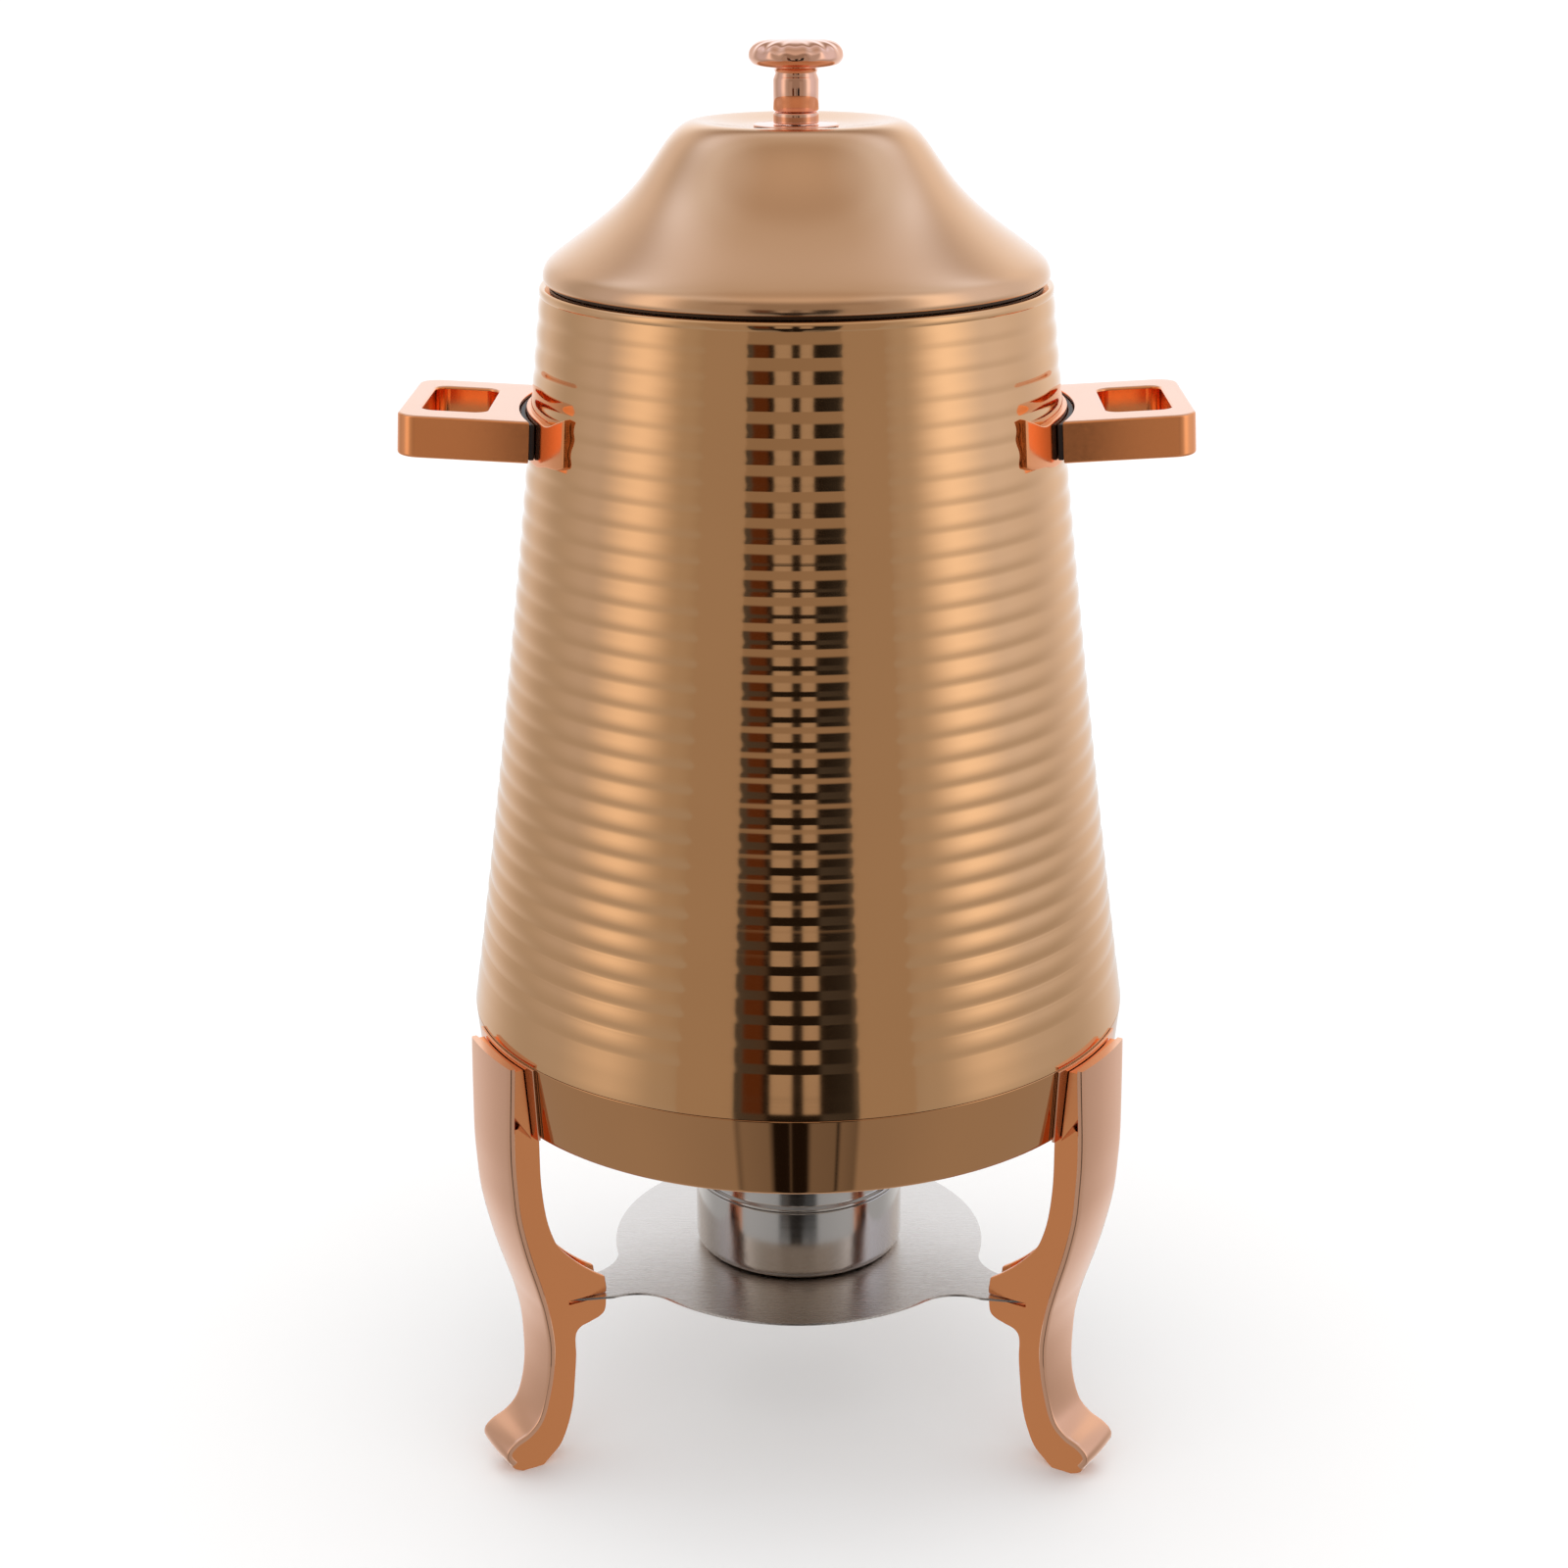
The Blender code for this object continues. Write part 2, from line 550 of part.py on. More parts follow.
def make_handle_set(side, copper, black, steel):
    """Handle, gasket and bracket are shaped on the +X side, bored, and then turned to their own side."""
    base = HANDLE_SIDES[side]
    pieces = [make_handle(side, copper), make_gasket(side, black), make_bracket(side, copper)]
    start = head_seat(jacket_radius, JACKET_WALL, HANDLE_Z)
    length = HANDLE_RADIUS + HANDLE_SCREW_DEPTH - start
    for piece in pieces:
        bores = [rod(f"bore_{turn_by}", SCREW_RADIUS + BORE_CLEAR, around(turn_by, start, HANDLE_Z),
                     around(turn_by, start + length + 0.0008, HANDLE_Z))
                 for turn_by in (-HANDLE_SCREW_ANGLE, HANDLE_SCREW_ANGLE)]
        combine(piece, bores, "DIFFERENCE")
        piece.rotation_euler = (0, 0, base)
    for place, angle in handle_screw_angles(base).items():
        pieces.append(screw(f"handle_screw_{side}_{place}", angle, start, length, HANDLE_Z, steel))
    return pieces


# ---------------------------------------------------------------- legs
def leg_point(point):
    """Turns a leg outline's (distance, level) into radius and height."""
    out, level = point
    height = level * PLATE_Z if level < 1 else PLATE_Z + (level - 1) * (SEAM_Z - PLATE_Z)
    return (SEAM_RADIUS + out, height)


def leg_half_width(z):
    """Half the width of the leg's face at height z."""
    table = [(leg_point((0, level))[1], half) for level, half in LEG_HALF_WIDTHS]
    table.sort()
    for (low, a), (high, b) in zip(table, table[1:]):
        if z <= high:
            share = max(0.0, (z - low) / (high - low))
            return a + (b - a) * (3 * share ** 2 - 2 * share ** 3)
    return table[-1][1]


def leg_face_line():
    top = (LEG_INNER + 0.0031, LEG_TOP)
    return smooth_line([top] + [leg_point(p) for p in LEG_FACE_LINE], 2)


def make_leg_face(material):
    """The broad outer face: a strip that follows the leg's S curve, crowned like the band behind it."""
    line = leg_face_line()
    back = offset_line(line, -LEG_FACE_THICK)
    rings = []
    for front_point, back_point in zip(line, back):
        half = leg_half_width(front_point[1])
        normal = (Vector(front_point) - Vector(back_point)).normalized()
        ring = []
        for share in (-1.0, -0.5, 0.0, 0.5, 1.0):
            crown = half ** 2 * (1 - share ** 2) / (2 * SEAM_RADIUS)
            ring.append((front_point[0] + normal.x * crown, half * share, front_point[1] + normal.y * crown))
        ring += [(back_point[0], half, back_point[1]), (back_point[0], -half, back_point[1])]
        rings.append(ring)
    return loft("leg_face", rings, material)


def side_place(u, v, w):
    return (u, w, v)


def make_leg_web(material):
    """The narrow web behind the face, with the knee that carries the plate, and the foot."""
    knee = smooth_line([leg_point(p) for p in LEG_KNEE_LINE], 2)
    shin = smooth_line([leg_point(p) for p in LEG_SHIN_LINE], 2)
    toe = [leg_point(p) for p in ((0.0010, 0.0), (0.0055, 0.026), (0.0078, 0.075))]
    back = offset_line(leg_face_line(), -LEG_FACE_THICK / 2)
    rise = [p for p in reversed(back) if p[1] < BAND_BOTTOM and p[1] > toe[-1][1] + 0.002]
    top_z = BAND_BOTTOM - 0.004
    inner_top = (knee[0][0], top_z)
    outline = [inner_top] + knee + shin + toe + rise + [(LEG_INNER + 0.0020, top_z)]
    return extrude("leg_web", outline, -LEG_WEB / 2, LEG_WEB / 2, material, side_place)


def make_leg_block(material):
    """The solid head of the leg, curved to the saddle, that the screws go into."""
    half = leg_half_width(SEAM_Z) - 0.0006
    outer = LEG_INNER + 0.0020
    angle = asin(half / LEG_INNER)
    rings = []
    top = LEG_TOP - 0.0006
    for z_outer, z_inner in ((BAND_BOTTOM + 0.012, BAND_BOTTOM + 0.001), (top, top)):
        ring = [(r * cos(a), r * sin(a), z_outer) for r, a in
                ((outer + 0.0003, -angle), (outer + 0.0012, 0), (outer + 0.0003, angle))]
        ring += [(LEG_INNER * cos(a), LEG_INNER * sin(a), z_inner) for a in
                 (angle, angle / 2, 0, -angle / 2, -angle)]
        rings.append(ring)
    return loft("leg_block", rings, material)


def make_leg_neck(material):
    """Joins the leg's head to the web below the band."""
    low = BAND_BOTTOM - 0.006
    high = BAND_BOTTOM + 0.014
    outline = [(LEG_INNER + 0.0004, low), (LEG_INNER + 0.0035, low), (LEG_INNER + 0.0035, high),
               (LEG_INNER + 0.0004, high)]
    return extrude("leg_neck", outline, -LEG_WEB / 2, LEG_WEB / 2, material, side_place)


def make_leg_cutters():
    """The hollow of the web, the plate's slot and the screw bores."""
    face = offset_line(leg_face_line(), -LEG_FACE_THICK)
    low = HOLLOW_FOOT * PLATE_Z
    high = BAND_BOTTOM - HOLLOW_DROP
    back = [p for p in face if low < p[1] < high]
    reach = LEG_TIP - 0.010
    hollow = extrude("hollow", [(reach, high)] + back + [(reach, low)], LEG_WEB_WALL - LEG_WEB / 2,
                     LEG_WEB / 2 - LEG_WEB_WALL, None, side_place)
    slot_low = PLATE_Z - PLATE_THICK - GAP
    slot_high = PLATE_Z + GAP
    slot_outline = [(reach, slot_low), (SLOT_END, slot_low), (SLOT_END, slot_high), (reach, slot_high)]
    slot = extrude("slot", slot_outline, -LEG_WEB, LEG_WEB, None, side_place)
    bores = [rod(f"bore_{drop}", SCREW_RADIUS + BORE_CLEAR, (LEG_INNER - 0.01, 0, SEAM_Z - drop),
                 (LEG_INNER + LEG_SCREW_DEPTH + 0.0005, 0, SEAM_Z - drop)) for drop in LEG_SCREW_DROP]
    return [hollow, slot] + bores


def make_leg_mesh(material):
    leg = make_leg_face(material)
    combine(leg, [make_leg_web(None), make_leg_block(None), make_leg_neck(None)], "UNION")
    combine(leg, make_leg_cutters(), "DIFFERENCE")
    mesh = leg.data
    bpy.data.objects.remove(leg, do_unlink=True)
    return mesh


def saddle_block(name, half_angles, high, outer_at, material):
    """A curved slab on the band with half angles for its bottom and top, later trimmed to the band."""
    inner = BAND_BOTTOM_RADIUS - 0.004
    rings = []
    for half_angle, z in zip(half_angles, (BAND_BOTTOM, high)):
        outline = arc((0, 0), outer_at(z), -half_angle, half_angle, 8)
        outline += arc((0, 0), inner, half_angle, -half_angle, 8)
        rings.append([(x, y, z) for x, y in outline])
    return loft(name, rings, material)


def make_saddle_mesh(material):
    half_angle = asin(leg_half_width(SEAM_Z) / SADDLE_RADIUS)
    top = LEG_TOP + SADDLE_RISE
    saddle = saddle_block("saddle", (half_angle, half_angle), top, lambda z: SADDLE_RADIUS, material)
    wing = saddle_block("wing", SADDLE_WING_ANGLES, LEG_TOP, lambda z: band_radius(z) + SADDLE_WING, None)
    combine(saddle, [wing], "UNION")
    bores = [rod(f"bore_{drop}", SCREW_RADIUS + BORE_CLEAR, (BAND_BOTTOM_RADIUS - 0.01, 0, SEAM_Z - drop),
                 (LEG_INNER + 0.01, 0, SEAM_Z - drop)) for drop in LEG_SCREW_DROP]
    combine(saddle, [body_cutter("body_cutter")] + bores, "DIFFERENCE")
    mesh = saddle.data
    bpy.data.objects.remove(saddle, do_unlink=True)
    return mesh


def place_copy(name, mesh, angle):
    item = bpy.data.objects.new(name, mesh)
    item.rotation_euler = (0, 0, angle)
    bpy.context.scene.collection.objects.link(item)
    return item


def make_legs(copper, steel):
    leg_mesh = make_leg_mesh(copper)
    saddle_mesh = make_saddle_mesh(copper)
    pieces = []
    for place, angle in LEG_ANGLES.items():
        pieces.append(place_copy(f"leg_{place}", leg_mesh, angle))
        pieces.append(place_copy(f"saddle_{place}", saddle_mesh, angle))
        for level, drop in zip(("upper", "lower"), LEG_SCREW_DROP):
            z = SEAM_Z - drop
            start = head_seat(band_radius, BAND_WALL, z)
            length = LEG_INNER + LEG_SCREW_DEPTH - start
            pieces.append(screw(f"leg_screw_{place}_{level}", angle, start, length, z, steel))
    return pieces


# ---------------------------------------------------------------- burner
def plate_outline():
    """A disc with three arms, each blended into the disc and tapered to a tongue."""
    centre_v = PLATE_ARM_HALF + PLATE_FILLET
    centre_u = sqrt((PLATE_RADIUS + PLATE_FILLET) ** 2 - centre_v ** 2)
    meet = atan2(centre_v, centre_u)
    tongue_end = SLOT_END - 0.0008
    tongue_start = tongue_end - PLATE_TONGUE
    half_arm = [(tongue_end, PLATE_TONGUE_HALF * 0.6), (tongue_end - 0.0015, PLATE_TONGUE_HALF)]
    half_arm += [(max(tongue_start, centre_u), PLATE_ARM_HALF)]
    half_arm += arc((centre_u, centre_v), PLATE_FILLET, -pi / 2, meet - pi, 7)[1:]
    outline = []
    arm = [(u, -v) for u, v in reversed(half_arm)] + half_arm
    for angle in sorted(LEG_ANGLES.values()):
        outline += [(u * cos(angle) - v * sin(angle), u * sin(angle) + v * cos(angle)) for u, v in arm]
        start = angle + meet
        outline += arc((0, 0), PLATE_RADIUS, start, start + tau / 3 - 2 * meet, 12)[1:-1]
    return outline


def make_plate(material):
    return extrude("burner_plate", plate_outline(), PLATE_Z - PLATE_THICK, PLATE_Z, material)


def make_cup(material):
    radius = CUP_RADIUS
    corner = (radius - CUP_CORNER, CUP_Z + CUP_CORNER)
    outline = [(0, CUP_Z)] + arc(corner, CUP_CORNER, -pi / 2, 0, 3)
    outline += [(radius, CUP_TOP - 0.0004), (radius - 0.0004, CUP_TOP), (radius - CUP_WALL, CUP_TOP)]
    outline += arc(corner, CUP_CORNER - CUP_WALL, 0, -pi / 2, 3) + [(0, CUP_Z + CUP_WALL)]
    return turn("burner_cup", outline, material, steps=40)


def make_cover(material):
    """A cap on the cup: a plug inside it, a bead that rests on its edge, a neck and an open top."""
    plug = CUP_RADIUS - CUP_WALL - GAP
    neck = CUP_RADIUS - COVER_STEP
    low = CUP_TOP - COVER_PLUG
    seat = CUP_TOP + GAP
    outline = [(plug, low), (plug, seat), (CUP_RADIUS, seat), (CUP_RADIUS, seat + 0.0012),
               (neck, seat + 0.0024), (neck, COVER_TOP - 0.002), (neck - 0.002, COVER_TOP),
               (COVER_OPENING, COVER_TOP), (COVER_OPENING, COVER_TOP - CUP_WALL),
               (neck - 0.0026, COVER_TOP - CUP_WALL), (neck - CUP_WALL, COVER_TOP - 0.0026),
               (neck - CUP_WALL, seat), (plug - CUP_WALL, low)]
    cover = turn("burner_cover", outline, material, steps=40)
    bore = rod("pin_bore", PIN_RADIUS + GAP, (0, -FLAP_PIVOT, COVER_TOP - 0.004),
               (0, -FLAP_PIVOT, COVER_TOP + 0.004))
    return combine(cover, [bore], "DIFFERENCE")


def make_flap(material):
    """The round flap over the opening: disc, arm to the pin and a lifting tab, cut as one sheet."""
    reach = FLAP_PIVOT
    ear = PIN_RADIUS * 2.6
    join = acos((FLAP_RADIUS - ear) / reach)
    outline = arc((0, reach), FLAP_RADIUS, join - pi / 2, pi * 1.5 - join, 26)
    outline += arc((0, 0), ear, pi * 1.5 - join, pi * 1.5 + join, 8)
    low = COVER_TOP + GAP
    flap = extrude("snuffer_flap", outline, low, low + FLAP_THICK, material)
    bore = rod("pin_bore", PIN_RADIUS + GAP, (0, 0, low - 0.004), (0, 0, low + 0.006))
    combine(flap, [bore], "DIFFERENCE")
    flap.location = (0, -reach, 0)
    return flap


def make_pin(material):
    """A rivet through cover and flap."""
    low = COVER_TOP - CUP_WALL - GAP
    high = COVER_TOP + GAP + FLAP_THICK + GAP
    head = PIN_RADIUS * 1.8
    outline = [(0, low - 0.0010), (head, low - 0.0010), (head, low), (PIN_RADIUS, low), (PIN_RADIUS, high),
               (head, high), (head * 0.8, high + 0.0009), (0, high + 0.0012)]
    pin = turn("flap_pin", outline, material, steps=16)
    pin.location = (0, -FLAP_PIVOT, 0)
    return pin


# ---------------------------------------------------------------- assembly
def build():
    clear_scene()
    bronze = make_material("bronze_jacket", (0.47, 0.26, 0.13), 0.22)
    band_bronze = make_material("bronze_band", (0.40, 0.22, 0.11), 0.12)
    lid_bronze = make_material("bronze_lid", (0.45, 0.25, 0.13), 0.25)
    copper = make_material("copper_casting", (0.72, 0.36, 0.21), 0.16)
    knob_copper = make_material("copper_knob", (0.78, 0.42, 0.30), 0.12)
    satin_steel = make_material("satin_steel", (0.62, 0.60, 0.58), 0.32)
    polished_steel = make_material("polished_steel", (0.50, 0.49, 0.48), 0.12)
    screw_steel = make_material("screw_steel", (0.55, 0.55, 0.55), 0.25)
    black_rubber = make_material("black_gasket", (0.012, 0.012, 0.012), 0.5, 0.0)

    pieces = [make_jacket(bronze), make_band(band_bronze), make_water_pan(satin_steel), make_pot(satin_steel)]
    pieces += [make_lid(lid_bronze), make_knob(knob_copper)] + make_knob_fittings(knob_copper, screw_steel)
    for side in HANDLE_SIDES:
        pieces += make_handle_set(side, copper, black_rubber, screw_steel)
    pieces += make_legs(copper, screw_steel)
    pieces += [make_plate(satin_steel), make_cup(polished_steel), make_cover(polished_steel)]
    pieces += [make_flap(polished_steel), make_pin(polished_steel)]

    # The back leg's toe reaches further than the front of the body, so the axis stands forward of centre.
    toe_reach = max(r for r, z in leg_face_line())
    toe_crown = leg_half_width(0.0) ** 2 / (2 * SEAM_RADIUS)
    kettle = bpy.data.objects.new("kettle", None)
    kettle.location = (0, (SEAM_RADIUS - toe_reach - toe_crown) / 2, 0)
    bpy.context.scene.collection.objects.link(kettle)
    for piece in pieces:
        piece.parent = kettle


build()
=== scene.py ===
"""Looks of the soup kettle: rippled bronze jacket, spun lid, copper castings and steel burner.

Metres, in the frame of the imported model: +Z up, front towards -Y. Every turned piece is about the
kettle's axis. The studio is a shell that only reflections see, with white light for the rest.
"""
from math import asin, atan2, cos, hypot, pi, radians, sin, sqrt, tau

import bmesh
import bpy
from mathutils import Matrix, Vector


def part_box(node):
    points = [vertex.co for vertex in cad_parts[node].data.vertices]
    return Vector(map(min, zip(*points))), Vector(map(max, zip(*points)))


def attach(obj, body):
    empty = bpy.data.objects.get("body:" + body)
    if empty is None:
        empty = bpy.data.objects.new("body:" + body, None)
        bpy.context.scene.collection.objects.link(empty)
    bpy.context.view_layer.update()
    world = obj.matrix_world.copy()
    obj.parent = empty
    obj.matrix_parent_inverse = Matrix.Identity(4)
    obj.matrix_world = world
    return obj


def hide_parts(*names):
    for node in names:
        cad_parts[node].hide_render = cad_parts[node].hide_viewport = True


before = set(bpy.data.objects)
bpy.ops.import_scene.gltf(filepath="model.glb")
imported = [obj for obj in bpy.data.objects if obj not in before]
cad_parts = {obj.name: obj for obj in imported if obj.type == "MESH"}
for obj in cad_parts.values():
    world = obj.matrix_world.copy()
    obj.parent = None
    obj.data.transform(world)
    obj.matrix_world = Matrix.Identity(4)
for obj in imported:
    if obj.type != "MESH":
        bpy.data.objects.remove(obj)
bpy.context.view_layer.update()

# ---------------------------------------------------------------- places read from the frame
GAP = 0.0003
jacket_low, jacket_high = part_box("kettle_jacket")
AXIS_Y = (jacket_low.y + jacket_high.y) / 2
SEAM_Z = jacket_low.z
RIM_Z = jacket_high.z
SEAM_RADIUS = (jacket_high.x - jacket_low.x) / 2
BAND_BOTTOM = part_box("base_band")[0].z
PLATE_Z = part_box("burner_plate")[1].z
PLATE_THICK = PLATE_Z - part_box("burner_plate")[0].z

ROOT = "stand_and_jacket"
ROUND = 192                  # facets round a large piece
LEG_ANGLES = {"front_left": radians(210), "front_right": radians(-30), "back": radians(90)}
HANDLE_SIDES = {"left": pi, "right": 0.0}


def node_profile(node):
    """Outline (radius, height) of a turned CAD node: its mesh where it crosses the +X half-plane."""
    bm = bmesh.new()
    bm.from_mesh(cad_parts[node].data)
    bmesh.ops.remove_doubles(bm, verts=bm.verts, dist=2e-5)
    on_plane = {v for v in bm.verts if abs(v.co.y - AXIS_Y) < 2e-5 and v.co.x > -2e-5}
    links = {v: [] for v in on_plane}
    for edge in bm.edges:
        a, b = edge.verts
        if a in on_plane and b in on_plane:
            links[a].append(b)
            links[b].append(a)
    ends = [v for v in on_plane if v.co.x < 2e-5]
    start = min(ends, key=lambda v: v.co.z) if ends else min(on_plane, key=lambda v: v.co.z)
    outline = [start]
    seen = {start}
    while True:
        here = outline[-1]
        ahead = [v for v in links[here] if v not in seen and not (v in ends and here in ends)]
        if not ahead:
            break
        outline.append(ahead[0])
        seen.add(ahead[0])
    points = [(max(v.co.x, 0.0), v.co.z) for v in outline]
    bm.free()
    return points


# ---------------------------------------------------------------- modelling helpers
def flatten(piece):
    """Keeps broad faces flat to the eye next to their rounded edges."""
    modifier = piece.modifiers.new("face_normals", "WEIGHTED_NORMAL")
    modifier.keep_sharp = True
    modifier.weight = 90


def link(name, bm, material, body, replaced=(), place=None, angle=35, flat=False):
    """Turns a bmesh into a finished piece that rides on a body and stands for CAD nodes."""
    bmesh.ops.recalc_face_normals(bm, faces=bm.faces)
    mesh = bpy.data.meshes.new(name)
    bm.to_mesh(mesh)
    bm.free()
    mesh.shade_smooth()
    mesh.set_sharp_from_angle(angle=radians(angle))
    piece = bpy.data.objects.new(name, mesh)
    bpy.context.scene.collection.objects.link(piece)
    if place:
        piece.matrix_world = place
    if flat:
        flatten(piece)
    if material:
        piece.data.materials.append(material)
    if body:
        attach(piece, body)
    if replaced:
        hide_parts(*replaced)
    return piece


def on_axis(angle=0.0):
    """The kettle's axis as a placement, turned by an angle."""
    return Matrix.Translation((0, AXIS_Y, 0)) @ Matrix.Rotation(angle, 4, "Z")


def turned(outline, closed, steps=ROUND):
    """A bmesh spun about Z from (radius, height) points."""
    bm = bmesh.new()
    points = [bm.verts.new((r, 0, z)) for r, z in outline]
    edges = [bm.edges.new(pair) for pair in zip(points, points[1:])]
    if closed:
        edges.append(bm.edges.new((points[-1], points[0])))
    bmesh.ops.spin(bm, geom=points + edges, cent=(0, 0, 0), axis=(0, 0, 1), angle=tau, steps=steps,
                   use_merge=True)
    bmesh.ops.remove_doubles(bm, verts=bm.verts, dist=1e-6)
    return bm


def soften(outline, closed, corner=0.0005, parts=4):
    """Rounds every corner: gentle ones over half of each side, sharp ones by a small radius."""
    count = len(outline)
    points = []
    for i, point in enumerate(outline):
        if not closed and i in (0, count - 1):
            points.append(point)
            continue
        before, here, after = Vector(outline[i - 1]), Vector(point), Vector(outline[(i + 1) % count])
        back, ahead = before - here, after - here
        bend = pi - back.angle(ahead)
        shortest = min(back.length, ahead.length)
        if bend < radians(1):
            points.append(point)
            continue
        cut = 0.48 * shortest if bend < radians(42) else min(corner, 0.48 * shortest)
        start, end = here + back.normalized() * cut, here + ahead.normalized() * cut
        for k in range(parts + 1):
            t = k / parts
            spot = start * (1 - t) ** 2 + here * 2 * t * (1 - t) + end * t ** 2
            points.append((spot.x, spot.y))
    return points


def spun_piece(name, node, material, body, floor_plate=False, steps=ROUND, widest=1.0):
    """A fine, soft-cornered version of a turned CAD node."""
    outline = [(min(r, widest), z) for r, z in node_profile(node)]
    on_floor = outline[0][0] < 1e-5
    if floor_plate:
        outline = [(0.0, outline[0][1])] + outline + [(0.0, outline[-1][1])]
    closed = not (floor_plate or on_floor)
    return link(name, turned(soften(outline, closed), closed, steps), material, body, (node,), on_axis())


def curve_through(points, rounds, keep_ends=True):
    """Smooths a line by cubic subdivision: each round doubles the points and keeps both ends."""
    for _ in range(rounds):
        old = [Vector(p) for p in points]
        moved = [old[0]] + [(a + 6 * b + c) / 8 for a, b, c in zip(old, old[1:], old[2:])] + [old[-1]]
        points = []
        for i, spot in enumerate(moved[:-1]):
            points += [spot, (old[i] + old[i + 1]) / 2]
        points.append(moved[-1])
    return [tuple(p) for p in points]


def catmull(points, parts):
    """A Catmull-Rom line through the points."""
    ends = [points[0]] + list(points) + [points[-1]]
    line = []
    for a, b, c, d in zip(ends, ends[1:], ends[2:], ends[3:]):
        for i in range(parts):
            t = i / parts
            weights = (-t + 2 * t * t - t ** 3, 2 - 5 * t * t + 3 * t ** 3, t + 4 * t * t - 3 * t ** 3,
                       t ** 3 - t * t)
            line.append(tuple(sum(w * p[k] for w, p in zip(weights, (a, b, c, d))) / 2 for k in (0, 1)))
    return line + [tuple(points[-1])]


def sideways(points, distance):
    """Moves each point of a line to the left of its direction."""
    moved = []
    for i, point in enumerate(points):
        along = Vector(points[min(i + 1, len(points) - 1)]) - Vector(points[max(i - 1, 0)])
        along.normalize()
        moved.append((point[0] - along.y * distance, point[1] + along.x * distance))
    return moved


def arc(centre, radius, start, end, count):
    """Points on an arc from one angle to another, both ends included."""
    angles = [start + (end - start) * i / count for i in range(count + 1)]
    return [(centre[0] + radius * cos(a), centre[1] + radius * sin(a)) for a in angles]


def skin(bm, rings, closed=False, caps=True):
    """Skins equal rings of points into a bmesh."""
    rows = [[bm.verts.new(point) for point in ring] for ring in rings]
    for low, high in zip(rows, rows[1:] + rows[:1] if closed else rows[1:]):
        for i in range(len(low)):
            j = (i + 1) % len(low)
            bm.faces.new((low[i], low[j], high[j], high[i]))
    if caps and not closed:
        bm.faces.new(rows[0])
        bm.faces.new(rows[-1])
    return bm


def bevel_edges(bm, width, segments=2, sharper=28):
    """Rounds the edges that bend by more than an angle, in degrees."""
    bmesh.ops.recalc_face_normals(bm, faces=bm.faces)
    edges = [e for e in bm.edges if len(e.link_faces) == 2 and e.calc_face_angle(0) > radians(sharper)]
    bmesh.ops.bevel(bm, geom=edges, offset=width, segments=segments, profile=0.5, affect="EDGES",
                    clamp_overlap=True)
    return bm


# ---------------------------------------------------------------- materials
def metal(name, colour, roughness, grain, tint=0.04, metallic=1.0):
    """A metal, or rubber, whose roughness and relief follow a grain function and whose tint is uneven."""
    material = bpy.data.materials.new(name)
    material.use_nodes = True
    nodes, links = material.node_tree.nodes, material.node_tree.links
    shader = nodes["Principled BSDF"]
    shader.inputs["Metallic"].default_value = metallic
    coordinates = nodes.new("ShaderNodeTexCoord")
    pattern, relief = grain(nodes, links, coordinates.outputs["Object"])

    rough = nodes.new("ShaderNodeMapRange")
    rough.inputs["To Min"].default_value = roughness[0]
    rough.inputs["To Max"].default_value = roughness[1]
    links.new(pattern, rough.inputs["Value"])
    links.new(rough.outputs["Result"], shader.inputs["Roughness"])

    bump = nodes.new("ShaderNodeBump")
    bump.inputs["Strength"].default_value = relief
    bump.inputs["Distance"].default_value = 0.0002
    links.new(pattern, bump.inputs["Height"])
    links.new(bump.outputs["Normal"], shader.inputs["Normal"])

    patches = nodes.new("ShaderNodeTexNoise")
    patches.inputs["Scale"].default_value = 14
    links.new(coordinates.outputs["Object"], patches.inputs["Vector"])
    shades = nodes.new("ShaderNodeMix")
    shades.data_type = "RGBA"
    shades.inputs["A"].default_value = (*[c * (1 - tint) for c in colour], 1)
    shades.inputs["B"].default_value = (*[min(1.0, c * (1 + tint)) for c in colour], 1)
    links.new(patches.outputs["Fac"], shades.inputs["Factor"])
    links.new(shades.outputs["Result"], shader.inputs["Base Color"])
    return material


def spun_grain(scale, relief):
    """Fine rings about the piece's own axis, as a spinning lathe leaves them."""
    def make(nodes, links, place):
        split = nodes.new("ShaderNodeSeparateXYZ")
        links.new(place, split.inputs["Vector"])
        flat = nodes.new("ShaderNodeCombineXYZ")
        links.new(split.outputs["X"], flat.inputs["X"])
        links.new(split.outputs["Y"], flat.inputs["Y"])
        distance = nodes.new("ShaderNodeVectorMath")
        distance.operation = "LENGTH"
        links.new(flat.outputs["Vector"], distance.inputs[0])
        rings = nodes.new("ShaderNodeCombineXYZ")
        links.new(distance.outputs["Value"], rings.inputs["X"])
        links.new(split.outputs["Z"], rings.inputs["Z"])
        noise = nodes.new("ShaderNodeTexNoise")
        noise.inputs["Scale"].default_value = scale
        noise.inputs["Detail"].default_value = 3
        links.new(rings.outputs["Vector"], noise.inputs["Vector"])
        return noise.outputs["Fac"], relief
    return make


def brushed_grain(stretch, relief):
    """Straight brush lines; stretch holds the frequency along each of the object's axes."""
    def make(nodes, links, place):
        mapping = nodes.new("ShaderNodeMapping")
        mapping.inputs["Scale"].default_value = stretch
        links.new(place, mapping.inputs["Vector"])
        noise = nodes.new("ShaderNodeTexNoise")
        noise.inputs["Scale"].default_value = 1
        noise.inputs["Detail"].default_value = 4
        noise.inputs["Roughness"].default_value = 0.7
        links.new(mapping.outputs["Vector"], noise.inputs["Vector"])
        return noise.outputs["Fac"], relief
    return make


def cast_grain(scale, relief):
    """The faint orange peel of a polished and plated casting."""
    def make(nodes, links, place):
        noise = nodes.new("ShaderNodeTexNoise")
        noise.inputs["Scale"].default_value = scale
        noise.inputs["Detail"].default_value = 4
        links.new(place, noise.inputs["Vector"])
        return noise.outputs["Fac"], relief
    return make


